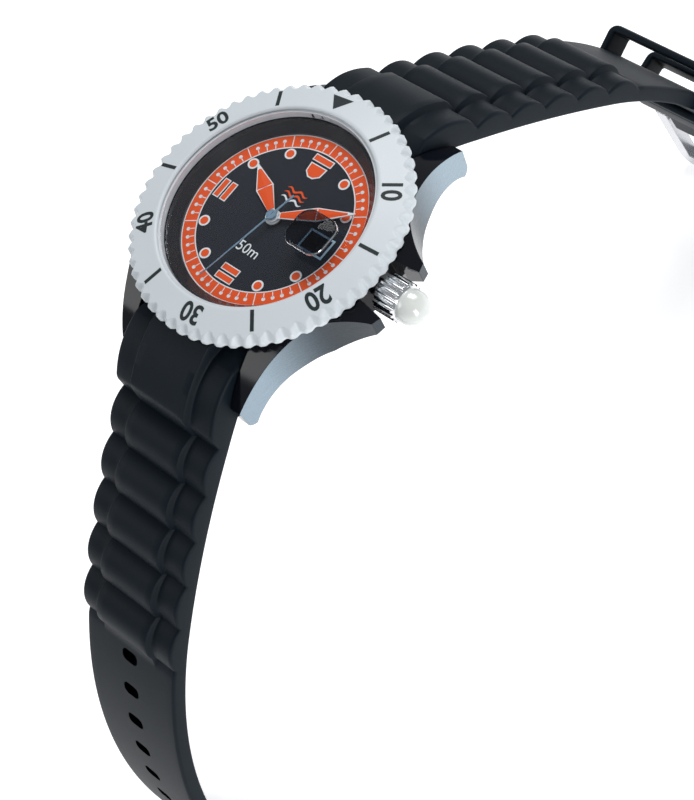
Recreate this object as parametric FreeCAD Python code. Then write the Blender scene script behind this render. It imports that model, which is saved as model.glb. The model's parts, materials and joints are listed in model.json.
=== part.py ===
import FreeCAD, Part
import math
import os

# Dive watch with a silicone strap, laid open in an arch. Millimetres.
# Origin: centre of the case back's outer face. +Z leaves the dial, +Y points to
# 12 o'clock, +X points along the crown at 3 o'clock.

os.makedirs("parts", exist_ok=True)
V = FreeCAD.Vector
X_AXIS, Z_AXIS = V(1, 0, 0), V(0, 0, 1)

# Driving dimensions
BEZEL_R = 21.0            # outside of the turning bezel
BEZEL_BOTTOM = 8.7
BEZEL_LIP = 11.2          # top of the bezel beside the glass
BEZEL_TEETH = 60
BEZEL_TURNED = 6.9        # the bezel stands this far round, counter-clockwise
CASE_TOP = 8.6
CASE_R = 18.7
CASE_BOTTOM = 0.9
COLLAR_R = 16.75          # the case's collar that the bezel turns on
COLLAR_TOP = 10.6
CAVITY_R = 14.75
BACK_R = 16.85
GLASS_R = 15.5
GLASS_BOTTOM, GLASS_TOP = 9.5, 11.0
DIAL_R = 14.5
DIAL_BOTTOM, DIAL_TOP = 7.3, 7.75
PLATE_R = 12.9            # radius of the movement
LUG_GAP = 20.5            # between the lugs' inner faces
LUG_OUT = 23.8            # how far the lugs reach from the centre
LUG_LOW = -3.3            # lowest point of the lugs, below the case back
BAR_U, BAR_Z = 21.6, 2.0  # spring bar axis: distance from the centre, and height
BAR_R = 0.75
BARREL_R = 1.9            # of the strap's end link about the bar
CROWN_Z = 5.4             # height of the crown's axis
CROWN_R = 2.85
STRAP_W, STRAP_END_W = 20.0, 18.4
STRAP_CENTRE_W = 11.2     # the raised middle row of the strap
RIDGE_PITCH = 7.3
RIDGES = 5
FIRST_VALLEY = 6.7        # from the spring bar, along the strap
BUCKLE_S = 86.0           # buckle pin, along the 12 o'clock half
TAIL_S = 96.0             # tip of the 6 o'clock half
HOLES, HOLE_PITCH, FIRST_HOLE = 7, 6.5, 46.5

# Each strap half: height of its wrist side at u = 22, its slope there in degrees
# below level, and its bends as (length, radius).
SPINES = {
    "strap_12": (1.75, 37.7, [(38.0, 298.0), (80.0, 70.0)]),
    "strap_6": (-0.47, 38.1, [(38.0, 166.0), (80.0, 77.0)]),
}
SPINE_START_U = 22.0
# Tops of the end links, side rows and centre row, as three (u, z) points each
LINK_SIDE_12 = [(20.6, 6.5), (24.6, 5.0), (28.2, 1.6)]
LINK_CENTRE_12 = [(19.6, 8.1), (24.6, 6.1), (28.8, 2.4)]
LINK_SIDE_6 = [(20.4, 5.6), (25.0, 3.5), (28.7, -0.5)]
LINK_CENTRE_6 = [(19.6, 7.6), (24.6, 5.1), (29.0, 1.3)]

# Tooth counts of the going train and the motion work
ROTOR_T = 8
REDUCTION_T, REDUCTION_P = 48, 8
FOURTH_T, FOURTH_P = 40, 8
THIRD_T, THIRD_P = 60, 8
CENTRE_T, CANNON_P = 64, 12
MINUTE_T, MINUTE_P = 36, 10
HOUR_T, HOUR_P = 40, 14
DATE_DRIVER_T = 28
SETTING_T = 20
DATE_TEETH = 31

# Centre distances, and where each arbor stands
REDUCTION_A, ROTOR_A = 2.88, 2.8
THIRD_A, MINUTE_A = 3.4, 3.6
DATE_A, SETTING_A = 4.2, 4.2


def polar(radius, degrees, centre=(0.0, 0.0)):
    """Point at a radius and angle from a centre."""
    a = math.radians(degrees)
    return (centre[0] + radius * math.cos(a), centre[1] + radius * math.sin(a))


REDUCTION_AT = polar(REDUCTION_A, 205)
ROTOR_AT = polar(ROTOR_A, 225, REDUCTION_AT)
THIRD_AT = polar(THIRD_A, 60)
MINUTE_AT = polar(MINUTE_A, -55)
SETTING_AT = polar(SETTING_A, 3, MINUTE_AT)
DATE_DRIVER_AT = polar(DATE_A, 140)
LEVER_AT = (10.6, 3.4)    # pivot of the setting lever; its pin is at the same x on the stem


def save(name, shape):
    """Write one sub-part."""
    shape.exportStep("parts/" + name + ".step")


def disc(radius, z0, z1, at=(0.0, 0.0)):
    """Upright cylinder."""
    return Part.makeCylinder(radius, z1 - z0, V(at[0], at[1], z0))


def ring(outer, inner, z0, z1, at=(0.0, 0.0)):
    """Upright tube."""
    return disc(outer, z0, z1, at).cut(disc(inner, z0 - 1, z1 + 1, at))


def block(x0, x1, y0, y1, z0, z1):
    """Box between two corners."""
    return Part.makeBox(x1 - x0, y1 - y0, z1 - z0, V(x0, y0, z0))


def rod(radius, x0, x1, y=0.0, z=0.0):
    """Cylinder lying along X."""
    return Part.makeCylinder(radius, x1 - x0, V(x0, y, z), X_AXIS)


def face_of(points):
    """Flat face inside a closed polygon of 3-D points."""
    return Part.Face(Part.makePolygon([V(*p) for p in points] + [V(*points[0])]))


def prism(points, z0, z1):
    """Upright prism on an (x, y) polygon."""
    return face_of([(x, y, z0) for x, y in points]).extrude(V(0, 0, z1 - z0))


def turned(points):
    """Solid turned about Z from an (r, z) polygon."""
    return face_of([(r, 0, z) for r, z in points]).revolve(V(0, 0, 0), Z_AXIS, 360)


def spun(shape, degrees, at=(0.0, 0.0)):
    """The shape turned about an upright axis."""
    copy = shape.copy()
    copy.rotate(V(at[0], at[1], 0), Z_AXIS, degrees)
    return copy


def around(shape, count, start=0.0):
    """A ring of copies about Z, as a list."""
    return [spun(shape, start + 360.0 * i / count) for i in range(count)]


def gear(teeth, module, z0, z1, at, phase=0.0):
    """Spur wheel with tapered teeth; phase turns a tooth to that angle."""
    root, pitch, tip = (module * (teeth / 2 + k) for k in (-1.2, 0.0, 0.9))
    step = 360.0 / teeth
    outline = []
    for i in range(teeth):
        a = phase + i * step
        for radius, part in ((root, -0.30), (pitch, -0.21), (tip, -0.08),
                             (tip, 0.08), (pitch, 0.21), (root, 0.30)):
            outline.append(polar(radius, a + part * step, at))
    return prism(outline, z0, z1)


def meshed(teeth, follower_teeth, phase, angle):
    """Phase that puts a follower's gap on the driver's tooth, along the line of centres."""
    step, follower_step = 360.0 / teeth, 360.0 / follower_teeth
    offset = (angle - phase) / step
    return angle + 180.0 + (offset + 0.5) * follower_step


def module_of(distance, teeth, follower_teeth):
    """Module that fits two wheels on a centre distance."""
    return 2.0 * distance / (teeth + follower_teeth)


# ---------------------------------------------------------------- case

def horn(guard, side):
    """One lug on the +X side, with the crown guard growing out of it if wanted."""
    flank = [(13.0, -LUG_OUT), (13.4, -22.2), (13.9, -20.0), (14.6, -17.0), (15.6, -13.8)]
    if guard:
        flank += [(16.6, -11.4), (17.9, -9.4), (19.8, -7.6), (21.8, -6.2), (23.5, -5.35)]
        inner = [(23.9, -4.0), (21.0, -3.55), (17.0, -3.55)]
    else:
        flank += [(16.4, -11.4), (17.2, -8.9), (17.8, -6.5), (18.3, -4.0), (CASE_R, -1.0)]
        inner = [(CASE_R, 0.0), (15.0, 0.0)]
    inner += [(LUG_GAP / 2, -12.0), (LUG_GAP / 2, -LUG_OUT)]

    def outline(inset, z):
        curve = Part.BSplineCurve()
        curve.interpolate([V(x - inset, y, z) for x, y in flank])
        last = V(flank[-1][0] - inset, flank[-1][1], z)
        points = [last] + [V(x - (inset if x > CASE_R else 0), y, z) for x, y in inner]
        points.append(V(flank[0][0] - inset, flank[0][1], z))
        return Part.Wire([curve.toShape()] + Part.makePolygon(points).Edges)

    body = Part.makeLoft([outline(0.0, CASE_TOP), outline(1.6, LUG_LOW - 0.2)], True, True)
    # Seen from the side: the lug's arched back, its blunt tip and its hollow underside.
    side_wire = Part.Wire([
        Part.LineSegment(V(0, 0, CASE_TOP), V(0, -11.5, CASE_TOP)).toShape(),
        Part.Arc(V(0, -11.5, CASE_TOP), V(0, -18.6, 5.8), V(0, -LUG_OUT, 1.3)).toShape(),
        Part.LineSegment(V(0, -LUG_OUT, 1.3), V(0, -23.6, -2.3)).toShape(),
        Part.Arc(V(0, -23.6, -2.3), V(0, -23.2, -3.0), V(0, -22.4, LUG_LOW)).toShape(),
        Part.Arc(V(0, -22.4, LUG_LOW), V(0, -19.4, -0.5), V(0, -14.0, 0.9)).toShape(),
        Part.LineSegment(V(0, -14.0, 0.9), V(0, 0, 0.9)).toShape(),
        Part.LineSegment(V(0, 0, 0.9), V(0, 0, CASE_TOP)).toShape()])
    body = body.common(Part.Face(side_wire).extrude(V(30, 0, 0)))
    if guard:
        # Seen along Y: the guard thins towards its tip.
        front = [(8, 0, CASE_TOP), (18.6, 0, CASE_TOP), (20.6, 0, 8.1), (24.2, 0, 7.15),
                 (24.2, 0, 5.1), (16.4, 0, 0.6), (16.4, 0, -3.6), (8, 0, -3.6)]
        body = body.common(face_of(front).extrude(V(0, -30, 0)))
    if side < 0:
        body = body.mirror(V(0, 0, 0), V(0, 1, 0))
    return body


def make_case():
    """Moulded case: middle, four lugs, crown guards, bezel collar and bores."""
    body = turned([(0, 0.6), (17.3, 0.6), (CASE_R, 2.2), (CASE_R, CASE_TOP),
                   (COLLAR_R, CASE_TOP), (COLLAR_R, COLLAR_TOP), (0, COLLAR_TOP)])
    for side in (1, -1):
        body = body.fuse(horn(True, side))
        body = body.fuse(horn(False, side).mirror(V(0, 0, 0), V(1, 0, 0)))
    # Crown recess between the guards, and the bore of the crown tube
    body = body.cut(rod(3.25, 19.4, 30, 0, CROWN_Z))
    body = body.cut(rod(1.3, 10, 20, 0, CROWN_Z))
    # Cavity, dial ledge, flange seat, glass seat
    body = body.cut(disc(BACK_R + 0.1, -2, 1.0))
    body = body.cut(disc(CAVITY_R, 0, DIAL_TOP + 0.03))
    body = body.cut(disc(13.7, 7, 9))
    body = body.cut(disc(15.3, DIAL_TOP + 0.03, GLASS_BOTTOM))
    body = body.cut(disc(16.05, GLASS_BOTTOM, 12))
    # Gasket groove and screw holes behind, wire groove and click-spring channel in front
    body = body.cut(ring(15.5, 14.9, 0.5, 1.5))
    body = body.cut(ring(COLLAR_R + 1, 16.4, 9.5, 9.85))
    body = body.cut(ring(18.3, 17.3, 8.3, 9.0))
    for screw in screw_places():
        body = body.cut(disc(0.32, 0.5, 3.0, screw))
    # Lug holes for the bar tips
    for v in (BAR_U, -BAR_U):
        for x in (LUG_GAP / 2 - 0.2, -LUG_GAP / 2 - 1.0):
            body = body.cut(rod(0.42, x, x + 1.2, v, BAR_Z))
    # Room for the strap's end links between the lugs
    for sign in (1, -1):
        y0, y1 = sorted((sign * 18.55, sign * 30))
        body = body.cut(block(-LUG_GAP / 2, LUG_GAP / 2, y0, y1, -5, 12).cut(
            disc(18.6, -6, 13)))
    return body.removeSplitter()


def screw_places():
    """Centres of the four case-back screws."""
    return [polar(16.1, a) for a in (45, 135, 225, 315)]


def make_case_back():
    """Steel back plate with a rim that presses the movement holder home."""
    back = turned([(0, 0.0), (BACK_R - 0.4, 0.0), (BACK_R, 0.3), (BACK_R, 1.0), (14.45, 1.0),
                   (14.45, 2.6), (13.3, 2.6), (13.3, 1.0), (0, 1.0)])
    # Two fine turned lines on the outside
    back = back.cut(ring(13.2, 12.9, -0.1, 0.12))
    back = back.cut(ring(9.0, 8.8, -0.1, 0.12))
    for screw in screw_places():
        back = back.cut(disc(0.34, -1, 3, screw))
        back = back.cut(disc(0.62, -1, 0.6, screw))
    return back


def make_case_back_gasket():
    """O-ring between the back and the case."""
    return Part.makeTorus(15.2, 0.24, V(0, 0, 1.25), Z_AXIS, 0, 360, 360)


def make_case_back_screws():
    """Four countersunk screws, each a separate solid."""
    screws = []
    for at in screw_places():
        head = disc(0.6, 0.08, 0.6, at)
        shank = disc(0.3, 0.6, 2.9, at)
        slot = block(at[0] - 1, at[0] + 1, at[1] - 0.1, at[1] + 0.1, 0, 0.3)
        screws.append(head.fuse(shank).cut(slot))
    return Part.makeCompound(screws)


# ---------------------------------------------------------------- bezel

def make_bezel():
    """Turning bezel: sloped face, scalloped grip, ratchet and wire grooves beneath."""
    profile = [(15.85, COLLAR_TOP + 0.12), (15.85, 11.05), (16.05, BEZEL_LIP),
               (16.4, BEZEL_LIP), (20.2, 10.3), (20.75, 9.75), (BEZEL_R, 9.2),
               (BEZEL_R, 8.85), (20.85, BEZEL_BOTTOM), (COLLAR_R + 0.08, BEZEL_BOTTOM),
               (COLLAR_R + 0.08, COLLAR_TOP + 0.12)]
    body = turned(profile)
    # Scallops: slanted round cuts, deeper at the top edge than at the foot
    lean = math.radians(32)
    cutter_r, depth, foot = 1.62, 0.46, BEZEL_BOTTOM
    axis_r = BEZEL_R - depth + cutter_r
    reach = 4.0
    low = V(axis_r + reach * math.sin(lean), 0, foot - reach * math.cos(lean))
    cutter = Part.makeCylinder(cutter_r, 3 * reach, low,
                               V(-math.sin(lean), 0, math.cos(lean)))
    body = body.cut(Part.makeCompound(around(cutter, BEZEL_TEETH, BEZEL_TURNED)))
    # Wire groove, and the ratchet ring whose outer wall the click spring rides on
    body = body.cut(ring(17.3, 16, 9.5, 9.85))
    notches = []
    for i in range(BEZEL_TEETH):
        notches += [polar(18.35, 6 * i), polar(18.7, 6 * i + 5.2)]
    body = body.cut(prism(notches, BEZEL_BOTTOM - 1, 9.15).cut(disc(17.35, 7, 10)))
    return body


def make_bezel_wire():
    """Spring wire that holds the bezel on its collar, open at one end."""
    wire = Part.makeTorus(16.78, 0.14, V(0, 0, 9.675), Z_AXIS, 0, 360, 352)
    return spun(wire, 94)


def make_click_spring():
    """Flat ring in the case's channel with three tongues sprung out to the ratchet."""
    flat = ring(18.2, 17.4, 8.32, 8.5)
    tongues = []
    for a in (30, 150, 270):
        tongue = ring(18.2, 17.75, 8.5, 8.95).common(block(0, 19, -0.5, 0.5, 8, 9.1))
        tongues.append(spun(tongue, a))
    return flat.multiFuse(tongues)


# ---------------------------------------------------------------- glass and dial

def make_crystal():
    """Flat mineral glass with a polished chamfer."""
    return turned([(0, GLASS_BOTTOM), (GLASS_R - 0.1, GLASS_BOTTOM), (GLASS_R, GLASS_BOTTOM + 0.1),
                   (GLASS_R, GLASS_TOP - 0.3), (GLASS_R - 0.3, GLASS_TOP), (0, GLASS_TOP)])


def make_date_lens():
    """Magnifier bonded on the glass over the date: a rounded, domed block."""
    cx, half_x, half_y = 8.95, 3.4, 2.95
    base = block(cx - half_x, cx + half_x, -half_y, half_y, GLASS_TOP, GLASS_TOP + 1.3)
    uprights = [e for e in base.Edges
                if abs(e.Vertexes[0].Point.z - e.Vertexes[1].Point.z) > 1]
    base = base.makeFillet(1.9, uprights)
    dome = Part.makeSphere(11.0, V(cx, 0, GLASS_TOP + 1.15 - 11.0))
    return base.common(dome)


def make_crystal_gasket():
    """Nylon ring gripping the glass in its seat."""
    return ring(16.03, GLASS_R, GLASS_BOTTOM, COLLAR_TOP)


def make_flange_ring():
    """Sloping inner ring from the dial's edge up to the glass."""
    return turned([(13.75, DIAL_TOP + 0.05), (15.25, DIAL_TOP + 0.05), (15.25, GLASS_BOTTOM - 0.02),
                   (15.0, GLASS_BOTTOM - 0.02), (13.75, DIAL_TOP + 0.35)])


DATE_X0, DATE_X1, DATE_HALF_Y = 6.2, 10.2, 1.35


def make_dial():
    """Dial disc with its centre hole, date window and two feet underneath."""
    dial = disc(DIAL_R, DIAL_BOTTOM, DIAL_TOP).cut(disc(1.05, 7, 9))
    dial = dial.cut(block(DATE_X0, DATE_X1, -DATE_HALF_Y, DATE_HALF_Y, 7, 9))
    for a in (85, 265):
        dial = dial.fuse(disc(0.35, 6.3, DIAL_BOTTOM, polar(12.4, a)))
    return dial


def make_date_disc():
    """Ring of dates with 31 inner teeth, lying under the dial."""
    body = ring(11.85, 8.55, 6.92, 7.12)
    tooth = prism([(8.7, -0.42), (8.15, -0.12), (8.15, 0.12), (8.7, 0.42)], 6.92, 7.12)
    return body.multiFuse(around(tooth, DATE_TEETH)).removeSplitter()


# ---------------------------------------------------------------- hands

# Directions of the hands, counter-clockwise from 3 o'clock: ten past ten and 32 seconds
MINUTE_ANGLE = 90 - 60.0
HOUR_ANGLE = 90 + 56.0
SECOND_ANGLE = 90 + 168.0


def dauphine(length, width, waist, tail_w, z0, z1, hub):
    """Hand along +X: narrow root, widest at the waist, pointed tip, with its hub."""
    outline = [(0, -tail_w / 2), (waist, -width / 2), (length, -0.06),
               (length, 0.06), (waist, width / 2), (0, tail_w / 2)]
    return prism(outline, z0, z1).fuse(disc(hub, z0, z1))


def make_hour_hand():
    """Lowest and shortest hand, on the hour wheel's pipe."""
    hand = dauphine(9.8, 2.6, 5.4, 0.9, 8.1, 8.25, 1.15)
    return spun(hand.cut(disc(0.8, 7, 9)), HOUR_ANGLE)


def make_minute_hand():
    """Middle hand, pressed on the cannon pinion."""
    hand = dauphine(12.2, 2.2, 6.6, 0.9, 8.45, 8.6, 1.0)
    return spun(hand.cut(disc(0.5, 7, 9)), MINUTE_ANGLE)


def make_second_hand():
    """Fine needle with a counterweight, pressed on the seconds arbor under a round cap."""
    needle = prism([(-4.0, -0.16), (12.6, -0.07), (12.6, 0.07), (-4.0, 0.16)], 8.82, 8.92)
    cap = disc(0.75, 8.74, 9.05).cut(disc(0.19, 8, 8.95))
    return spun(needle.fuse(cap).cut(disc(0.19, 8, 8.95)), SECOND_ANGLE)


# ---------------------------------------------------------------- motion work, above the main plate

def make_cannon_pinion():
    """Centre wheel with the cannon pinion and the tube that carries the minute hand."""
    wheel = gear(CENTRE_T, module_of(THIRD_A, THIRD_P, CENTRE_T), 5.98, 6.12, (0, 0))
    pinion = gear(CANNON_P, module_of(MINUTE_A, CANNON_P, MINUTE_T), 6.12, 6.42, (0, 0))
    tube = disc(0.5, 6.12, 8.6)
    return wheel.fuse(pinion).fuse(tube).cut(disc(0.27, 5, 9))


def make_minute_wheel():
    """Minute wheel and pinion on its stud."""
    angle = math.degrees(math.atan2(MINUTE_AT[1], MINUTE_AT[0]))
    module = module_of(MINUTE_A, CANNON_P, MINUTE_T)
    wheel = gear(MINUTE_T, module, 6.18, 6.36, MINUTE_AT, meshed(CANNON_P, MINUTE_T, 0, angle))
    pinion = gear(MINUTE_P, module_of(MINUTE_A, MINUTE_P, HOUR_T), 6.36, 6.75, MINUTE_AT, angle)
    return wheel.fuse(pinion).cut(disc(0.27, 5, 8, MINUTE_AT))


def make_hour_wheel():
    """Hour wheel, its date pinion and the pipe that carries the hour hand."""
    angle = math.degrees(math.atan2(MINUTE_AT[1], MINUTE_AT[0]))
    module = module_of(MINUTE_A, MINUTE_P, HOUR_T)
    wheel = gear(HOUR_T, module, 6.5, 6.7, (0, 0), meshed(MINUTE_P, HOUR_T, angle, angle + 180))
    pinion = gear(HOUR_P, module_of(DATE_A, HOUR_P, DATE_DRIVER_T), 6.7, 7.0, (0, 0))
    return wheel.fuse(pinion).fuse(disc(0.8, 6.7, 8.25)).cut(disc(0.55, 5, 9))


def make_date_driver():
    """Date driving wheel, one turn a day, with the finger that moves the date disc."""
    angle = math.degrees(math.atan2(DATE_DRIVER_AT[1], DATE_DRIVER_AT[0]))
    module = module_of(DATE_A, HOUR_P, DATE_DRIVER_T)
    phase = meshed(HOUR_P, DATE_DRIVER_T, 0, angle)
    wheel = gear(DATE_DRIVER_T, module, 6.74, 6.9, DATE_DRIVER_AT, phase)
    finger = prism([(-0.7, -0.5), (3.2, -0.28), (3.85, 0), (3.2, 0.28), (-0.7, 0.5)], 6.9, 7.08)
    finger = spun(finger, angle + 60)
    finger.translate(V(DATE_DRIVER_AT[0], DATE_DRIVER_AT[1], 0))
    return wheel.fuse(finger).cut(disc(0.27, 5, 8, DATE_DRIVER_AT))


def make_setting_wheel():
    """Wheel between the clutch on the stem and the minute wheel."""
    dx, dy = SETTING_AT[0] - MINUTE_AT[0], SETTING_AT[1] - MINUTE_AT[1]
    angle = math.degrees(math.atan2(dy, dx))
    cannon_angle = math.degrees(math.atan2(MINUTE_AT[1], MINUTE_AT[0]))
    module = module_of(SETTING_A, MINUTE_T, SETTING_T)
    phase = meshed(MINUTE_T, SETTING_T, meshed(CANNON_P, MINUTE_T, 0, cannon_angle), angle)
    return gear(SETTING_T, module, 6.18, 6.36, SETTING_AT, phase).cut(
        disc(0.27, 5, 8, SETTING_AT))


# ---------------------------------------------------------------- going train, under the main plate

def make_fourth_wheel():
    """Seconds wheel at the centre, its pinion and the long arbor of the second hand."""
    wheel = gear(FOURTH_T, module_of(REDUCTION_A, REDUCTION_P, FOURTH_T), 3.98, 4.14, (0, 0))
    pinion = gear(FOURTH_P, module_of(THIRD_A, FOURTH_P, THIRD_T), 3.5, 3.98, (0, 0))
    return wheel.fuse(pinion).fuse(disc(0.17, 3.1, 8.93))


def make_third_wheel():
    """Third wheel below, its pinion above the plate in mesh with the centre wheel."""
    angle = math.degrees(math.atan2(THIRD_AT[1], THIRD_AT[0]))
    wheel = gear(THIRD_T, module_of(THIRD_A, FOURTH_P, THIRD_T), 3.6, 3.76, THIRD_AT,
                 meshed(FOURTH_P, THIRD_T, 0, angle))
    pinion = gear(THIRD_P, module_of(THIRD_A, THIRD_P, CENTRE_T), 5.94, 6.16, THIRD_AT,
                  meshed(CENTRE_T, THIRD_P, 0, angle))
    return wheel.fuse(pinion).fuse(disc(0.17, 3.1, 6.16, THIRD_AT))


def make_reduction_wheel():
    """Wheel between the rotor and the seconds wheel."""
    angle = math.degrees(math.atan2(REDUCTION_AT[1], REDUCTION_AT[0]))
    pinion_phase = meshed(FOURTH_T, REDUCTION_P, 0, angle)
    pinion = gear(REDUCTION_P, module_of(REDUCTION_A, REDUCTION_P, FOURTH_T), 3.72, 4.3,
                  REDUCTION_AT, pinion_phase)
    wheel = gear(REDUCTION_T, module_of(ROTOR_A, ROTOR_T, REDUCTION_T), 3.56, 3.72, REDUCTION_AT)
    return wheel.fuse(pinion).fuse(disc(0.15, 3.1, 4.8, REDUCTION_AT))


def make_rotor():
    """Step motor's rotor: permanent magnet on a pinion."""
    dx, dy = ROTOR_AT[0] - REDUCTION_AT[0], ROTOR_AT[1] - REDUCTION_AT[1]
    phase = meshed(REDUCTION_T, ROTOR_T, 0, math.degrees(math.atan2(dy, dx)))
    pinion = gear(ROTOR_T, module_of(ROTOR_A, ROTOR_T, REDUCTION_T), 3.5, 3.8, ROTOR_AT, phase)
    magnet = disc(0.7, 3.95, 4.55, ROTOR_AT).fuse(disc(0.35, 3.8, 3.95, ROTOR_AT))
    return pinion.fuse(magnet).fuse(disc(0.12, 3.1, 4.8, ROTOR_AT))


# ---------------------------------------------------------------- movement frame

BATTERY_AT, BATTERY_R = (-5.0, 6.6), 3.4
BRIDGE_POSTS = [(4.6, -3.0), (-0.9, 7.2), (-7.6, -1.6)]
COIL_Y = -9.9


def make_main_plate():
    """Moulded plate carrying the train below and the calendar above."""
    plate = disc(PLATE_R, 4.6, 5.9).fuse(ring(PLATE_R, 12.0, 5.9, DIAL_BOTTOM))
    plate = plate.fuse(ring(11.8, 9.0, 5.9, 6.88))
    plate = plate.fuse(ring(PLATE_R, 12.2, 2.7, 4.6))
    for at in BRIDGE_POSTS:
        plate = plate.fuse(disc(0.6, 3.3, 4.6, at))
    for at in (MINUTE_AT, SETTING_AT, DATE_DRIVER_AT):
        plate = plate.fuse(disc(0.22, 5.9, 6.6 if at != DATE_DRIVER_AT else 7.0, at))
    cuts = [disc(0.3, 4, 7), disc(0.22, 4, 7, THIRD_AT), disc(0.2, 4, 4.9, REDUCTION_AT),
            disc(0.17, 4, 4.9, ROTOR_AT), disc(BATTERY_R + 0.1, 1, 4.75, BATTERY_AT),
            rod(0.65, 6.2, 14, 0, CROWN_Z), block(7.0, 10.3, -0.95, 0.95, 4.5, 6.6),
            block(-4.4, 4.4, COIL_Y - 1.0, COIL_Y + 1.0, 2, 5.0),
            block(9.7, 12.0, -0.7, 4.3, 5.9, 7.1).common(disc(11.98, 5, 8))]
    for a in (85, 265):
        cuts.append(disc(0.38, 6.2, 7.4, polar(12.4, a)))
    plate = plate.cut(Part.makeCompound(cuts))
    return plate.fuse(disc(0.25, 5.9, 6.25, LEVER_AT))


def make_train_bridge():
    """Thin bridge that holds the lower pivots of the train."""
    outline = [(5.6, -3.8), (5.6, 5.2), (2.6, 7.6), (-1.8, 8.2), (-2.2, 2.6), (-8.4, -0.8),
               (-8.4, -5.6), (-1.0, -6.4)]
    bridge = prism(outline, 2.9, 3.3).cut(disc(BATTERY_R + 0.15, 2, 4, BATTERY_AT))
    for at, radius in (((0, 0), 0.2), (THIRD_AT, 0.2), (REDUCTION_AT, 0.18), (ROTOR_AT, 0.15)):
        bridge = bridge.cut(disc(radius, 2.5, 3.5, at))
    for at in BRIDGE_POSTS:
        bridge = bridge.cut(disc(0.35, 2, 4, at))
    return bridge


def make_bridge_screws():
    """Three small screws through the bridge into the plate's posts."""
    screws = []
    for at in BRIDGE_POSTS:
        screws.append(disc(0.65, 2.6, 2.9, at).fuse(disc(0.32, 2.9, 3.3, at)))
    return Part.makeCompound(screws)


def make_stator():
    """Soft-iron plate round the rotor, with a leg to each end of the coil."""
    x, y = ROTOR_AT
    legs = prism([(x - 1.6, y + 1.2), (x + 1.9, y + 0.9), (5.6, COIL_Y + 2.3), (5.6, COIL_Y - 0.7),
                  (4.85, COIL_Y - 0.7), (4.85, COIL_Y + 1.4), (x + 1.9, y - 1.2), (x - 0.6, y - 1.4),
                  (-4.85, COIL_Y + 1.2), (-4.85, COIL_Y - 0.7), (-5.6, COIL_Y - 0.7),
                  (-5.6, COIL_Y + 2.0)], 4.3, 4.6)
    return legs.cut(disc(0.95, 3, 5, ROTOR_AT))


def make_coil():
    """Drive coil wound on its iron core, lying between the stator's legs."""
    core = block(-5.5, 5.5, COIL_Y - 0.35, COIL_Y + 0.35, 3.75, 4.3)
    winding = rod(0.85, -4.2, 4.2, COIL_Y, 4.02)
    return core.fuse(winding)


def make_circuit_board():
    """Board across the back of the movement, with the driver chip's drop of resin."""
    board = disc(12.6, 2.45, 2.7).common(block(1.2, 13, 2.0, 13, 2, 3))
    return board.fuse(disc(1.3, 2.7, 3.1, (7.2, 7.2)))


def make_quartz_can():
    """Tuning-fork crystal in its tin can."""
    return Part.makeCylinder(0.75, 5.0, V(8.6, -1.4, 3.85), V(0, -1, 0))


def make_battery():
    """Silver-oxide button cell: can and the smaller cap."""
    return disc(BATTERY_R, 2.2, 4.7, BATTERY_AT).fuse(disc(BATTERY_R - 0.5, 2.05, 2.2, BATTERY_AT))


def make_battery_clamp():
    """Sprung contact strip over the cell, held at both ends."""
    x0, x1 = BATTERY_AT[0] - 0.9, BATTERY_AT[0] + 0.9
    strip = block(x0, x1, 2.2, 11.5, 1.9, 2.05).fuse(disc(1.4, 1.9, 2.05, BATTERY_AT))
    return strip.fuse(block(x0, x1, 11.2, 11.5, 2.05, 2.7))


def make_movement_holder():
    """Plastic ring that centres the movement in the case."""
    holder = ring(CAVITY_R - 0.05, PLATE_R + 0.04, 2.6, 7.3)
    return holder.cut(rod(0.9, 12, 15, 0, CROWN_Z))


# ---------------------------------------------------------------- crown and stem

CROWN_X0, CROWN_X1 = 20.6, 24.3


def make_crown_tube():
    """Steel tube pressed in the case, on which the crown slides."""
    thick = rod(1.3, 14.9, 19.4, 0, CROWN_Z)
    thin = rod(1.1, 19.4, 22.3, 0, CROWN_Z)
    return thick.fuse(thin).cut(rod(0.55, 14, 23, 0, CROWN_Z))


def make_crown():
    """Fluted steel crown, hollow behind to cover the tube."""
    body = rod(CROWN_R, CROWN_X0, CROWN_X1, 0, CROWN_Z)
    chamfer = Part.makeCone(CROWN_R + 0.25, CROWN_R - 0.75, 1.0, V(CROWN_X1 - 0.65, 0, CROWN_Z), X_AXIS)
    body = body.common(rod(4, CROWN_X0, CROWN_X1 - 0.65, 0, CROWN_Z).fuse(chamfer))
    flutes = []
    for i in range(18):
        flute = rod(0.36, CROWN_X0 - 1, CROWN_X1 + 1, CROWN_R + 0.12, CROWN_Z)
        flute.rotate(V(0, 0, CROWN_Z), X_AXIS, 20.0 * i)
        flutes.append(flute)
    body = body.cut(Part.makeCompound(flutes))
    body = body.cut(rod(1.75, CROWN_X0 - 1, 22.6, 0, CROWN_Z))
    return body.cut(rod(0.5, 20, 24, 0, CROWN_Z))


def make_crown_cap():
    """Pearl-white rounded button set in the crown's end."""
    ball = Part.makeSphere(2.5, V(CROWN_X1 + 0.75, 0, CROWN_Z))
    return ball.common(block(CROWN_X1, 30, -5, 5, CROWN_Z - 5, CROWN_Z + 5))


def make_crown_gasket():
    """O-ring in the crown that seals on the tube and slides with the crown."""
    return Part.makeTorus(1.42, 0.3, V(21.2, 0, CROWN_Z), X_AXIS, 0, 360, 360)


def make_winding_stem():
    """Stem from the crown to the clutch in the movement, with the groove for the lever."""
    stem = rod(0.5, 22.6, 24.0, 0, CROWN_Z).fuse(rod(0.45, 6.9, 22.6, 0, CROWN_Z))
    pin_x = LEVER_AT[0]
    groove = rod(1, pin_x - 0.26, pin_x + 0.26, 0, CROWN_Z).cut(rod(0.28, 9, 12, 0, CROWN_Z))
    return stem.cut(groove)


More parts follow.
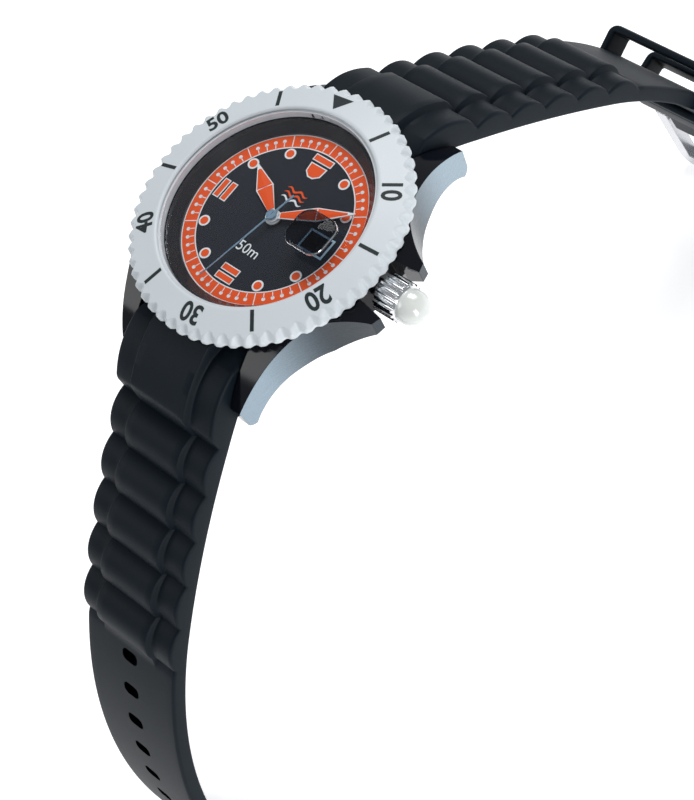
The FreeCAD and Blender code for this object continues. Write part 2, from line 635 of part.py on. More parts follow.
def make_clutch_pinion():
    """Sliding pinion on the stem's inner end."""
    pinion = gear(12, 0.11, 0, 1.6, (0, 0)).cut(disc(0.45, -1, 2))
    pinion.rotate(V(0, 0, 0), V(0, 1, 0), 90)
    pinion.translate(V(7.6, 0, CROWN_Z))
    return pinion


def make_setting_lever():
    """Flat lever whose pin sits in the stem's groove and gives the crown its steps."""
    x, y = LEVER_AT
    arm = prism([(x - 0.28, -0.3), (x + 0.28, -0.3), (x + 0.45, y), (x - 0.45, y)], 5.93, 6.12)
    lever = arm.fuse(disc(0.7, 5.93, 6.12, LEVER_AT)).fuse(disc(0.2, 5.72, 5.93, (x, 0)))
    return lever.cut(disc(0.3, 5, 7, LEVER_AT))


# ---------------------------------------------------------------- strap

def spine(half, s):
    """(u, z, heading) of the strap's wrist side at s mm from the spring bar."""
    z, degrees, bends = SPINES[half]
    u, phi = SPINE_START_U, math.radians(degrees)
    left = s
    if s < 0:
        return u + s * math.cos(phi), z - s * math.sin(phi), phi
    for length, radius in bends:
        run = min(left, length)
        turn = phi + run / radius
        u += radius * (math.sin(turn) - math.sin(phi))
        z += radius * (math.cos(turn) - math.cos(phi))
        phi, left = turn, left - run
        if left <= 0:
            break
    return u, z, phi


def on_strap(half, s, height, x=0.0):
    """Point at a height above the wrist side; +Y for the 12 o'clock half, -Y for the other."""
    u, z, phi = spine(half, s)
    u, z = u + height * math.sin(phi), z + height * math.cos(phi)
    return V(x, u if half == "strap_12" else -u, z)


def strap_row(half, x0, x1, end_s, valley, peak, link_top, tail):
    """One lengthwise row: end link, half-round ridges, then the plain tail."""
    sign = 1 if half == "strap_12" else -1
    (u0, z0), (u1, z1), (u2, z2) = link_top
    near, mid, far = V(x0, sign * u0, z0), V(x0, sign * u1, z1), V(x0, sign * u2, z2)
    edges = [Part.LineSegment(V(x0, sign * 15, z0), near).toShape(),
             Part.Arc(near, mid, far).toShape(),
             Part.LineSegment(far, on_strap(half, FIRST_VALLEY, valley, x0)).toShape()]
    s = FIRST_VALLEY
    for _ in range(RIDGES):
        edges.append(Part.Arc(on_strap(half, s, valley, x0),
                              on_strap(half, s + RIDGE_PITCH / 2, peak, x0),
                              on_strap(half, s + RIDGE_PITCH, valley, x0)).toShape())
        s += RIDGE_PITCH
    edges.append(Part.LineSegment(on_strap(half, s, valley, x0),
                                  on_strap(half, s + 1.2, tail, x0)).toShape())
    middle = (s + 1.2 + end_s) / 2
    edges.append(Part.Arc(on_strap(half, s + 1.2, tail, x0), on_strap(half, middle, tail, x0),
                          on_strap(half, end_s, tail, x0)).toShape())
    edges.append(Part.LineSegment(on_strap(half, end_s, tail, x0),
                                  on_strap(half, end_s, 0, x0)).toShape())
    first_bend = SPINES[half][2][0][0]
    edges.append(Part.Arc(on_strap(half, end_s, 0, x0), on_strap(half, (end_s + first_bend) / 2, 0, x0),
                          on_strap(half, first_bend, 0, x0)).toShape())
    edges.append(Part.Arc(on_strap(half, first_bend, 0, x0), on_strap(half, first_bend / 2, 0, x0),
                          on_strap(half, 0, 0, x0)).toShape())
    low = on_strap(half, 0, 0, x0)
    edges.append(Part.LineSegment(low, V(x0, sign * 15, low.z)).toShape())
    edges.append(Part.LineSegment(V(x0, sign * 15, low.z), V(x0, sign * 15, z0)).toShape())
    return Part.Face(Part.Wire(edges)).extrude(V(x1 - x0, 0, 0))


def strap_body(half, end_s, link_side, link_centre):
    """Both strap halves: two side rows and the raised centre row, tapering to the end."""
    wide, centre = STRAP_W / 2, STRAP_CENTRE_W / 2
    body = strap_row(half, -wide, wide, end_s, 2.3, 3.6, link_side, 2.5)
    body = body.fuse(strap_row(half, -centre, centre, end_s, 3.0, 4.6, link_centre, 2.5))
    # Taper: wedges off both sides
    sign = 1 if half == "strap_12" else -1
    end = on_strap(half, end_s, 0)
    for x_sign in (1, -1):
        wedge = [(x_sign * wide, sign * 27.0), (x_sign * (wide + 5), sign * 27.0),
                 (x_sign * (wide + 5), end.y + sign * 6), (x_sign * STRAP_END_W / 2, end.y + sign * 6)]
        body = body.cut(prism(wedge, -100, 20))
    # End link: a barrel about the bar, rounded above to clear the bezel and below to clear the case
    u_bar = sign * BAR_U
    body = body.fuse(rod(BARREL_R, -wide, wide, u_bar, BAR_Z))
    near_case = block(-12, 12, *sorted((sign * 10, u_bar)), -20, 20)
    below = block(-12, 12, *sorted((sign * 10, u_bar)), -20, BAR_Z)
    body = body.cut(near_case.cut(rod(6.1, -13, 13, u_bar, BAR_Z)))
    body = body.cut(below.cut(rod(2.8, -13, 13, u_bar, BAR_Z)))
    body = body.cut(disc(CASE_R + 0.1, -20, 20))
    return body.cut(rod(BAR_R + 0.05, -15, 15, u_bar, BAR_Z))


def strap_cutter(half, s, x0, x1, length, depth=8.0):
    """Box through the strap at s, square to it."""
    _, _, phi = spine(half, s)
    box = block(x0, x1, -length / 2, length / 2, -depth / 2, depth / 2)
    tilt = -math.degrees(phi) if half == "strap_12" else math.degrees(phi)
    box.rotate(V(0, 0, 0), X_AXIS, tilt)
    box.translate(on_strap(half, s, 1.25))
    return box


def make_strap_12():
    """Buckle half: its end narrows to a pierced loop for the buckle pin and tongue."""
    body = strap_body("strap_12", BUCKLE_S + 2.0, LINK_SIDE_12, LINK_CENTRE_12)
    for sign in (1, -1):
        x0, x1 = sorted((sign * 7.6, sign * 14.0))
        body = body.cut(strap_cutter("strap_12", BUCKLE_S + 1.5, x0, x1, 9.0, 12.0))
    body = body.cut(strap_cutter("strap_12", BUCKLE_S + 2.0, -1.7, 1.7, 12.0, 12.0))
    pin = buckle_pin_place()
    return body.cut(rod(0.78, -15, 15, pin.y, pin.z))


def make_strap_6():
    """Tail half: seven long holes and a tip with rounded corners."""
    body = strap_body("strap_6", TAIL_S, LINK_SIDE_6, LINK_CENTRE_6)
    for i in range(HOLES):
        hole = strap_cutter("strap_6", FIRST_HOLE + HOLE_PITCH * i, -1.6, 1.6, 2.2)
        body = body.cut(hole.makeFillet(0.9, hole_edges(hole)))
    corner = 5.0
    for sign in (1, -1):
        x_in, x_out = sign * (STRAP_END_W / 2 - corner), sign * 12.0
        cut = strap_cutter("strap_6", TAIL_S - corner / 2 + 1.0, *sorted((x_in, x_out)), corner + 2.0)
        axis = on_strap("strap_6", TAIL_S - corner, 1.25, x_in)
        _, _, phi = spine("strap_6", TAIL_S - corner / 2)
        normal = V(0, -math.sin(phi), math.cos(phi))
        keep = Part.makeCylinder(corner, 20, axis - normal * 10, normal)
        body = body.cut(cut.cut(keep))
    return body


def hole_edges(box):
    """The four edges of a strap cutter that run through the strap."""
    longest = max(e.Length for e in box.Edges)
    return [e for e in box.Edges if abs(e.Length - longest) < 0.01]


# ---------------------------------------------------------------- buckle and keepers

FRAME_W, FRAME_L, FRAME_T = 22.4, 17.0, 2.0


def buckle_pin_place():
    """Axis of the buckle pin."""
    return on_strap("strap_12", BUCKLE_S, 1.25)


def laid_on_strap(shape, half, s, height=0.0):
    """Moves a shape built flat (+Y along the strap, +Z outwards) on to the strap."""
    _, _, phi = spine(half, s)
    copy = shape.copy()
    copy.rotate(V(0, 0, 0), X_AXIS, -math.degrees(phi))
    copy.translate(on_strap(half, s, height))
    return copy


def make_buckle_frame():
    """Steel buckle: two ears on the pin, side rails and a rounded far bar."""
    outer = block(-FRAME_W / 2, FRAME_W / 2, -1.4, FRAME_L - 1.4, -1.0, 1.0)
    outer = outer.makeFillet(2.6, [e for e in outer.Edges if abs(e.Length - FRAME_T) < 0.01
                                   and e.CenterOfMass.y > 5])
    window = block(-8.9, 8.9, -3, FRAME_L - 4.6, -2, 2)
    frame = outer.cut(window)
    frame = frame.cut(rod(0.5, -9.9, 9.9))
    # Shallow seat for the tongue's tip on the far bar
    frame = frame.cut(Part.makeCylinder(1.3, 8, V(0, FRAME_L - 6, 1.75), V(0, 1, 0)))
    return laid_on_strap(frame, "strap_12", BUCKLE_S, 1.25)


def make_buckle_pin():
    """Spring bar of the buckle."""
    pin = rod(0.72, -8.8, 8.8).fuse(rod(0.45, -9.8, 9.8))
    return laid_on_strap(pin, "strap_12", BUCKLE_S, 1.25)


def make_buckle_tongue():
    """Tongue: an eye on the pin and a rounded prong over the far bar."""
    eye = rod(1.25, -1.3, 1.3)
    prong = block(-1.1, 1.1, 0, 14.2, 0.2, 1.25)
    prong = prong.fuse(Part.makeCylinder(1.1, 1.05, V(0, 14.2, 0.2), Z_AXIS))
    tongue = eye.fuse(prong).cut(rod(0.78, -3, 3))
    tongue.rotate(V(0, 0, 0), X_AXIS, 4.0)
    return laid_on_strap(tongue, "strap_12", BUCKLE_S, 1.25)


def keeper(length, wall, slack):
    """Closed loop round two strap thicknesses, built flat."""
    half_w = STRAP_END_W / 2 + 0.75
    outer = block(-half_w - wall, half_w + wall, -length / 2, length / 2, -slack - wall, 5.4 + wall)
    long_edges = [e for e in outer.Edges if abs(e.Length - length) < 0.01]
    outer = outer.makeFillet(1.2, long_edges)
    inner = block(-half_w, half_w, -length, length, -slack, 5.4)
    inner = inner.makeFillet(0.5, [e for e in inner.Edges if abs(e.Length - 2 * length) < 0.01])
    return outer.cut(inner)


FIXED_KEEPER_S, FREE_KEEPER_S = 75.5, 63.0


def make_fixed_keeper():
    """Loop bonded on the strap near the buckle."""
    loop = keeper(5.0, 1.3, 0.12)
    return laid_on_strap(loop, "strap_12", FIXED_KEEPER_S).cut(
        strap_body("strap_12", BUCKLE_S + 2.0, LINK_SIDE_12, LINK_CENTRE_12))


def make_free_keeper():
    """Loop that slides along the strap."""
    return laid_on_strap(keeper(5.5, 1.4, 0.45), "strap_12", FREE_KEEPER_S)


def make_spring_bars():
    """Two spring bars between the lugs, each a separate solid."""
    bars = []
    for v in (BAR_U, -BAR_U):
        bars.append(rod(BAR_R, -LUG_GAP / 2 + 0.15, LUG_GAP / 2 - 0.15, v, BAR_Z).fuse(
            rod(0.4, -LUG_GAP / 2 - 0.8, LUG_GAP / 2 + 0.8, v, BAR_Z)))
    return Part.makeCompound(bars)


PARTS = {
    "case": make_case,
    "case_back": make_case_back,
    "case_back_gasket": make_case_back_gasket,
    "case_back_screws": make_case_back_screws,
    "bezel": make_bezel,
    "bezel_wire": make_bezel_wire,
    "bezel_click_spring": make_click_spring,
    "crystal": make_crystal,
    "date_lens": make_date_lens,
    "crystal_gasket": make_crystal_gasket,
    "flange_ring": make_flange_ring,
    "dial": make_dial,
    "date_disc": make_date_disc,
    "hour_hand": make_hour_hand,
    "minute_hand": make_minute_hand,
    "second_hand": make_second_hand,
    "cannon_pinion": make_cannon_pinion,
    "minute_wheel": make_minute_wheel,
    "hour_wheel": make_hour_wheel,
    "date_driving_wheel": make_date_driver,
    "setting_wheel": make_setting_wheel,
    "fourth_wheel": make_fourth_wheel,
    "third_wheel": make_third_wheel,
    "reduction_wheel": make_reduction_wheel,
    "rotor": make_rotor,
    "main_plate": make_main_plate,
    "train_bridge": make_train_bridge,
    "bridge_screws": make_bridge_screws,
    "stator": make_stator,
    "drive_coil": make_coil,
    "circuit_board": make_circuit_board,
    "quartz_can": make_quartz_can,
    "battery": make_battery,
    "battery_clamp": make_battery_clamp,
    "movement_holder": make_movement_holder,
    "crown_tube": make_crown_tube,
    "crown": make_crown,
    "crown_cap": make_crown_cap,
    "crown_gasket": make_crown_gasket,
    "winding_stem": make_winding_stem,
    "clutch_pinion": make_clutch_pinion,
    "setting_lever": make_setting_lever,
    "strap_12": make_strap_12,
    "strap_6": make_strap_6,
    "spring_bars": make_spring_bars,
    "buckle_frame": make_buckle_frame,
    "buckle_pin": make_buckle_pin,
    "buckle_tongue": make_buckle_tongue,
    "fixed_keeper": make_fixed_keeper,
    "free_keeper": make_free_keeper,
}

for part_name, make in PARTS.items():
    save(part_name, make())
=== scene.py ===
import json
import math

import bmesh
import bpy
from mathutils import Matrix, Vector

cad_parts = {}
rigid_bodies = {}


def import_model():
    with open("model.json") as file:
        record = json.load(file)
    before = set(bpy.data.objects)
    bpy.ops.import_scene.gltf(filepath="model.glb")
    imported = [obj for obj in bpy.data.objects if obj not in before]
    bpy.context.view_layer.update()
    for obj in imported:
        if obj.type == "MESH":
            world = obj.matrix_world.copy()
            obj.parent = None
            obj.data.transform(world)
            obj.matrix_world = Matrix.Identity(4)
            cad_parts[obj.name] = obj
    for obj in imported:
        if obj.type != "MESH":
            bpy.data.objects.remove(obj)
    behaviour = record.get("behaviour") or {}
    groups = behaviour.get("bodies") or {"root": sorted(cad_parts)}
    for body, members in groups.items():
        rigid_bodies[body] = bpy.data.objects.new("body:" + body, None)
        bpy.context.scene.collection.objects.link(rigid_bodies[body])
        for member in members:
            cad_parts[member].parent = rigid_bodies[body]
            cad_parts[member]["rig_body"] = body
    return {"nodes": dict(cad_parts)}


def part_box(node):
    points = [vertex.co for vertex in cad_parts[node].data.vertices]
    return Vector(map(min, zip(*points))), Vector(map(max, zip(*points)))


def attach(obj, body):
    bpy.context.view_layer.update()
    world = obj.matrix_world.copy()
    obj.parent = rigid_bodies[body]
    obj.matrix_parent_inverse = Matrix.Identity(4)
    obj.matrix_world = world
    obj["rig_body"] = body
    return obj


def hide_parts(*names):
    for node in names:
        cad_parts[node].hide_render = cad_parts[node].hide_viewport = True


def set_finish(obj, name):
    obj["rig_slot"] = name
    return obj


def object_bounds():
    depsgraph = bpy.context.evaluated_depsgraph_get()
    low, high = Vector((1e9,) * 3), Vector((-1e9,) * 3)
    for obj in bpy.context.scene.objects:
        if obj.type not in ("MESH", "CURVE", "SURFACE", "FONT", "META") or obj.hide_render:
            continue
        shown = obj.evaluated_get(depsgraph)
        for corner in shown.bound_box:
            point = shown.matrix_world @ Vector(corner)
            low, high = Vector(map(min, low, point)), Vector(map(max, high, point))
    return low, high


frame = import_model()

# Camera, floor and studio light.
# The watch stands on a pale floor as an open arch. One large soft source hangs over the
# 12 o'clock side, a narrower one looks along the case's crown side, and the sky fills the rest.
MM = 0.001
scene = bpy.context.scene
scene.view_settings.view_transform = "Standard"
cad_low, cad_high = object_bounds()

CAMERA_AT = (200.37, -71.35, 257.15)
CAMERA_LOOKS = Vector((-0.558669, 0.180820, -0.809440))
CAMERA_UP = Vector((-0.449023, 0.754608, 0.478483))
CAMERA_SENSOR, CAMERA_LENS = 36.0, 108.7
camera = bpy.data.objects.new("camera", bpy.data.cameras.new("camera"))
scene.collection.objects.link(camera)
scene.camera = camera
camera.data.sensor_width = CAMERA_SENSOR
camera.data.lens = CAMERA_LENS
camera.data.clip_start = 0.01
camera_axes = Matrix((CAMERA_LOOKS.cross(CAMERA_UP), CAMERA_UP, -CAMERA_LOOKS)).transposed()
camera.matrix_world = Matrix.Translation(Vector(CAMERA_AT) * MM) @ camera_axes.to_4x4()

FLOOR_HALF, FLOOR_GAP = 3.0, 0.0001
floor_mesh = bpy.data.meshes.new("floor")
floor_z = cad_low.z - FLOOR_GAP
floor_corners = [(x * FLOOR_HALF, y * FLOOR_HALF, floor_z)
                 for x, y in ((-1, -1), (1, -1), (1, 1), (-1, 1))]
floor_mesh.from_pydata(floor_corners, [], [(0, 1, 2, 3)])
floor = bpy.data.objects.new("floor", floor_mesh)
scene.collection.objects.link(floor)
floor_paint = bpy.data.materials.new("floor_paint")
floor_paint.use_nodes = True
floor_shader = floor_paint.node_tree.nodes["Principled BSDF"]
floor_shader.inputs["Base Color"].default_value = (0.86, 0.86, 0.87, 1)
floor_shader.inputs["Roughness"].default_value = 0.8
floor_shader.inputs["Emission Color"].default_value = (1, 1, 1, 1)
floor_shader.inputs["Emission Strength"].default_value = 0.5
floor_mesh.materials.append(floor_paint)

world = bpy.data.worlds.new("studio")
scene.world = world
world.use_nodes = True
sky = world.node_tree.nodes["Background"]
sky.inputs["Color"].default_value = (0.93, 0.96, 1.0, 1)
sky.inputs["Strength"].default_value = 0.32


def softbox(name, place, aim, width, height, watts):
    """Rectangular soft light, placed and aimed in metres."""
    lamp = bpy.data.lights.new(name, "AREA")
    lamp.shape, lamp.size, lamp.size_y, lamp.energy = "RECTANGLE", width, height, watts
    thing = bpy.data.objects.new(name, lamp)
    thing.location = place
    thing.rotation_euler = (Vector(aim) - Vector(place)).to_track_quat("-Z", "Y").to_euler()
    scene.collection.objects.link(thing)


softbox("over_12", (-0.10, 0.42, 0.50), (0, 0, 0), 0.50, 0.35, 3.2)
softbox("crown_side", (0.62, -0.20, 0.10), (0.02, 0, 0), 0.22, 0.40, 2.3)
softbox("over_6", (-0.45, -0.35, 0.35), (0, 0, -0.03), 0.30, 0.30, 1.0)


# Case: black moulded body with four lugs and crown guards.
# The tops are polished, the outer flanks are metal-coated and brushed along their length.
class Tap:
    """A shader socket; arithmetic on Taps adds Math nodes."""

    def __init__(self, tree, socket=None):
        self.tree, self.socket = tree, socket

    def add(self, kind, settings, sockets, output=0):
        """Any node: its type, its settings first, then values or links of its sockets."""
        node = self.tree.nodes.new("ShaderNode" + kind)
        for key, value in settings.items():
            setattr(node, key, value)
        for key, value in sockets.items():
            if isinstance(value, Tap):
                self.tree.links.new(value.socket, node.inputs[key])
            else:
                node.inputs[key].default_value = value
        return Tap(self.tree, node.outputs[output])

    def math(self, operation, *values):
        return self.add("Math", {"operation": operation}, dict(enumerate((self, *values))))

    def __add__(self, other):
        return self.math("ADD", other)

    def __sub__(self, other):
        return self.math("SUBTRACT", other)

    def __rsub__(self, other):
        return self.add("Math", {"operation": "SUBTRACT"}, {0: other, 1: self})

    def __mul__(self, other):
        return self.math("MULTIPLY", other)

    def __truediv__(self, other):
        return self.math("DIVIDE", other)

    def __abs__(self):
        return self.math("ABSOLUTE")

    __radd__, __rmul__ = __add__, __mul__

    def between(self, low, high):
        """0 at low, 1 at high, smooth between them."""
        return self.add("MapRange", {"interpolation_type": "SMOOTHSTEP"},
                        {"Value": self, "From Min": low, "From Max": high})

    def axis(self, index):
        """One component of a vector."""
        return self.add("SeparateXYZ", {}, {0: self}, index)

    def stretched(self, x, y, z):
        """A vector scaled by its axes."""
        return self.add("VectorMath", {"operation": "MULTIPLY"}, {0: self, 1: (x, y, z)})

    def noise(self, size, detail=2.0):
        """Cloudy value about 0.5 with blobs of a size, read at this vector."""
        return self.add("TexNoise", {}, {"Vector": self, "Scale": 1.0 / size, "Detail": detail})

    def tint(self, colour_0, colour_1):
        """Colour that goes from one to the other as this value goes from 0 to 1."""
        return self.add("Mix", {"data_type": "RGBA"},
                        {0: self, 6: (*colour_0, 1.0), 7: (*colour_1, 1.0)}, 2)


def start(name, **sockets):
    """A new material, its Principled shader, and the surface's place in millimetres."""
    made = bpy.data.materials.new(name)
    made.use_nodes = True
    shader = made.node_tree.nodes["Principled BSDF"]
    for key, value in sockets.items():
        shader.inputs[key.replace("_", " ")].default_value = value
    place = Tap(made.node_tree).add("TexCoord", {}, {}, 3)
    return made, shader, place.stretched(1 / MM, 1 / MM, 1 / MM)


def feed(shader, **links):
    """Link what changes over the surface to the shader."""
    for key, tap in links.items():
        tap.tree.links.new(tap.socket, shader.inputs[key.replace("_", " ")])


def relief(height, depth, under=None):
    """Bump of a depth in millimetres, on the plain surface or on another normal."""
    sockets = {"Height": height, "Distance": depth * MM, "Strength": 1.0}
    if under:
        sockets["Normal"] = under
    return height.add("Bump", {}, sockets)


def soft_edge(place, radius):
    """Normal that rounds sharp edges by a radius in millimetres."""
    return place.add("Bevel", {"samples": 4}, {"Radius": radius * MM})


def case_finish():
    """Black moulding; its upright outer faces carry a metal coat, whose colour has a painted sheen: darker
    near the case's middle, paler towards the lug tips.
    """
    sideways, upright, past_guards, painted_sheen_run = (0.30, 0.42), (0.5, 0.4), (3.7, 3.9), (8.0, 20.0)
    made, shader, place = start("case_black", IOR=1.52, Specular_IOR_Level=0.22)
    facing = place.add("TexCoord", {}, {}, 1)
    x, y = place.axis(0), place.axis(1)
    outward = facing.axis(0) * x / abs(x)
    flank = outward.between(*sideways) * abs(facing.axis(2)).between(*upright)
    flank = flank * abs(y).between(*past_guards)
    # Painted sheen: the coat's base colour runs from dark near the case's middle to pale at the lug tips,
    # standing in for the reflection along the flank.
    painted_lug_sheen = abs(y).between(*painted_sheen_run)
    black, coated = (0.004, 0.005, 0.008), (0.33, 0.42, 0.49)
    brush = place.stretched(0.05, 0.05, 1.0).noise(0.10, 3.0)
    cloud = place.noise(6.0)
    feed(shader,
         Base_Color=(flank * (0.12 + 0.88 * painted_lug_sheen) * (0.8 + 0.2 * brush)).tint(black, coated),
         Metallic=flank * 0.92,
         Roughness=flank * (0.20 + 0.16 * brush) + (1.0 - flank) * (0.09 + 0.05 * cloud),
         Normal=relief(flank * brush, 0.006, soft_edge(place, 0.14)))
    return made


def dress(node, finish):
    """Give a carried-over node its finish."""
    frame["nodes"][node].data.materials.clear()
    frame["nodes"][node].data.materials.append(finish)


dress("case", case_finish())


# Case back and its screws: turned stainless steel, with fine circular tool marks.
# The back is pressed against its gasket by four screws.
def turned_steel():
    dull, bright, radians_per_mm = (0.4675, 0.476, 0.493), (0.605, 0.616, 0.638), 42.0
    made, shader, place = start("turned_back", Metallic=1.0)
    x, y = place.axis(0), place.axis(1)
    radius = (x * x + y * y).math("SQRT")
    marks = (radius * radians_per_mm).math("SINE") * 0.5 + 0.5
    cloud = place.noise(3.0)
    feed(shader,
         Base_Color=(cloud * 0.6 + marks * 0.2).tint(dull, bright),
         Roughness=0.22 + 0.10 * cloud + 0.05 * marks,
         Normal=relief(marks, 0.002, soft_edge(place, 0.08)))
    return made


turned_back = turned_steel()
for node in ("case_back", "case_back_screws"):
    dress(node, turned_back)


# Strap: matte silicone, moulded in two halves of three rows.
# The raised centre row and the two side rows run over half-round ridges to a plain end.
# Each end link wraps a spring bar between the lugs. U is the distance out from the dial's centre.
# A spine is its height at the start, its heading in degrees, and (length, radius) of its bends.
# A link is the side row's and the centre row's (u, z) at the back, the middle and the lip.
SPINE_START_U = 22.0
SPINES = {"strap_12": (1.75, 37.7, ((38.0, 298.0), (80.0, 70.0))),
          "strap_6": (-0.47, 38.1, ((38.0, 166.0), (80.0, 77.0)))}
LINKS = {"strap_12": (((20.6, 6.5), (24.6, 5.0), (28.2, 1.6)), ((19.6, 8.0), (24.6, 6.1), (28.8, 2.4))),
         "strap_6": (((20.4, 5.6), (25.0, 3.5), (28.7, -0.5)), ((19.6, 7.5), (24.6, 5.1), (29.0, 1.3)))}
BAR_U, BAR_Z, BARREL_R = 21.6, 2.0, 1.9
LINK_BACK, LINK_ROUND = 18.85, 6.1
RIDGES, RIDGE_PITCH, FIRST_VALLEY, RIDGE_STEPS = 5, 7.3, 6.7, 20
SIDE_VALLEY, SIDE_PEAK, CENTRE_VALLEY, CENTRE_PEAK, TAIL_THICK = 2.3, 3.6, 3.0, 4.6, 2.5
STRAP_HALF, STRAP_END_HALF, CENTRE_HALF, LUG_GAP = 10.0, 9.2, 5.6, 0.02
BUCKLE_S, TAIL_S, TAPER_FROM = 86.0, 96.0, 6.0
BUCKLE_END, TONGUE_SLOT_AT, TAIL_END = BUCKLE_S + 1.9, BUCKLE_S + 1.0, TAIL_S - 0.1
NECK_FROM, NECK_RUN, NECK_HALF = 81.6, 1.2, 7.6
HOLES, HOLE_PITCH, FIRST_HOLE = 7, 6.5, 46.5
HOLE_SIZE, TONGUE_SLOT = (1.6, 1.1, 0.9), (1.7, 5.0, 1.0)


def spine(half, s):
    """(u, z, heading) of the wrist side, s mm along the strap."""
    z, degrees, bends = SPINES[half]
    u, heading, left = SPINE_START_U, math.radians(degrees), s
    for length, radius in bends:
        turned = heading + min(left, length) / radius
        u += radius * (math.sin(turned) - math.sin(heading))
        z += radius * (math.cos(turned) - math.cos(heading))
        heading, left = turned, left - min(left, length)
    return u, z, heading


def above(half, s, height):
    """(u, z) at a height over the wrist side."""
    u, z, heading = spine(half, s)
    return (u + height * math.sin(heading), z + height * math.cos(heading))


def blend_points(a, b, t):
    """Point on the straight line from a to b."""
    return tuple(p + (q - p) * t for p, q in zip(a, b))


def bent(a, middle, b, t):
    """Point on the smooth curve from a to b that passes the middle halfway."""
    pull = tuple(2 * m - (p + q) / 2 for p, m, q in zip(a, middle, b))
    return tuple((1 - t) ** 2 * p + 2 * t * (1 - t) * c + t * t * q for p, c, q in zip(a, pull, b))


def row_tops(half, link, valley, peak):
    """(u, z) along the top of one row: end link, its far lip, and the ridges."""
    bend, bend_steps, lip_steps = 0.95, 23, 5
    tops = [(LINK_BACK, link[0][1])] + [bent(*link, bend * i / bend_steps) for i in range(bend_steps)]
    lip, groove = link[2], above(half, FIRST_VALLEY, valley)
    before, after = bent(*link, bend), blend_points(lip, groove, 0.3)
    for i in range(lip_steps + 1):
        t = i / lip_steps
        tops.append(blend_points(blend_points(before, lip, t), blend_points(lip, after, t), t))
    tops += [blend_points(after, groove, i / 3) for i in (1, 2)]
    half_pitch = RIDGE_PITCH / 2
    rise = peak - valley
    ridge_r = (half_pitch ** 2 + rise ** 2) / (2 * rise)
    for k in range(RIDGES):
        for j in range(RIDGE_STEPS):
            along = (j / RIDGE_STEPS * 2 - 1) * half_pitch
            height = peak - ridge_r + math.sqrt(ridge_r ** 2 - along ** 2)
            tops.append(above(half, FIRST_VALLEY + (k + 0.5) * RIDGE_PITCH + along, height))
    return tops


def wrist_side(half):
    """(u, z) under the same places as row_tops."""
    barrel = max(BARREL_R, BAR_Z - SPINES[half][0])
    under = [(LINK_BACK, BAR_Z)]
    for i in range(7):
        turn = math.pi * (1 + 0.5 * i / 6)
        under.append((BAR_U + barrel * math.cos(turn), BAR_Z + barrel * math.sin(turn)))
    meet, lip = 2.2, FIRST_VALLEY - 0.6
    under += [blend_points(under[-1], above(half, meet, 0), (i + 1) / 4) for i in range(4)]
    under += [above(half, meet + (lip - meet) * (i + 1) / 18, 0) for i in range(18)]
    under += [above(half, lip + 0.2 * (i + 1), 0) for i in range(2)]
    return under + [above(half, FIRST_VALLEY + RIDGE_PITCH * i / RIDGE_STEPS, 0)
                    for i in range(RIDGE_STEPS * RIDGES)]


def edge_loop(bottom, side, centre, half_width):
    """Closed loop of (x, u, z) round the strap at one place."""
    top_round, low_round, step = 0.55, 0.4, 0.28
    right = [(x, 1.0, 0.0) for x in (0.0, 2.0, 4.0)]
    for i in range(9):
        t = i / 8
        right.append((CENTRE_HALF - step + 2 * step * t, 1 - t * t * (3 - 2 * t), 0.0))
    for t in (0.25, 0.6):
        right.append((CENTRE_HALF + step + (half_width - top_round - CENTRE_HALF - step) * t, 0.0, 0.0))
    for i in range(7):
        turn = math.pi / 2 * i / 6
        right.append((half_width - top_round * (1 - math.sin(turn)), 0.0,
                      top_round * (1 - math.cos(turn))))
    top = []
    for x, raised, drop in right:
        u, z = blend_points(side, centre, raised)
        tall = math.hypot(u - bottom[0], z - bottom[1])
        top.append((x, *blend_points((u, z), bottom, min(drop / tall, 0.4))))
    wall_u, wall_z = blend_points(side, bottom, 0.5)
    top.append((half_width, wall_u, wall_z))
    tall = math.hypot(side[0] - bottom[0], side[1] - bottom[1])
    for i in range(5):
        turn = math.pi / 2 * i / 4
        rise = low_round * (1 - math.sin(turn)) / tall
        top.append((half_width - low_round * (1 - math.cos(turn)), *blend_points(bottom, side, rise)))
    top.append((half_width / 2, *bottom))
    left = [(-x, u, z) for x, u, z in reversed(top) if x > 0]
    return top + [(0.0, *bottom)] + left


def loft(loops, wrap=False):
    """Points and faces of a skin over closed loops; the ends are capped unless it wraps."""
    count = len(loops[0])
    points = [p for loop in loops for p in loop]
    faces = []
    for i in range(len(loops) if wrap else len(loops) - 1):
        a, b = i * count, (i + 1) % len(loops) * count
        faces += [(a + j, a + (j + 1) % count, b + (j + 1) % count, b + j) for j in range(count)]
    if not wrap:
        faces += [tuple(range(count)), tuple(range(len(points) - count, len(points)))]
    return points, faces


def piece(name, skins, finish, body, slot, stands_for=(), sharp=35.0):
    """One mesh of closed skins in millimetres; it rides on a body."""
    points, faces = [], []
    for skin_points, skin_faces in skins:
        faces += [tuple(i + len(points) for i in f) for f in skin_faces]
        points += [Vector(p) * MM for p in skin_points]
    mesh = bpy.data.meshes.new(name)
    mesh.from_pydata(points, [], faces)
    work = bmesh.new()
    work.from_mesh(mesh)
    bmesh.ops.recalc_face_normals(work, faces=work.faces)
    work.to_mesh(mesh)
    work.free()
    mesh.shade_smooth()
    mesh.set_sharp_from_angle(angle=math.radians(sharp))
    mesh.materials.append(finish)
    thing = bpy.data.objects.new(name, mesh)
    scene.collection.objects.link(thing)
    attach(thing, body)
    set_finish(thing, slot)
    if stands_for:
        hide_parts(*stands_for)
    return thing


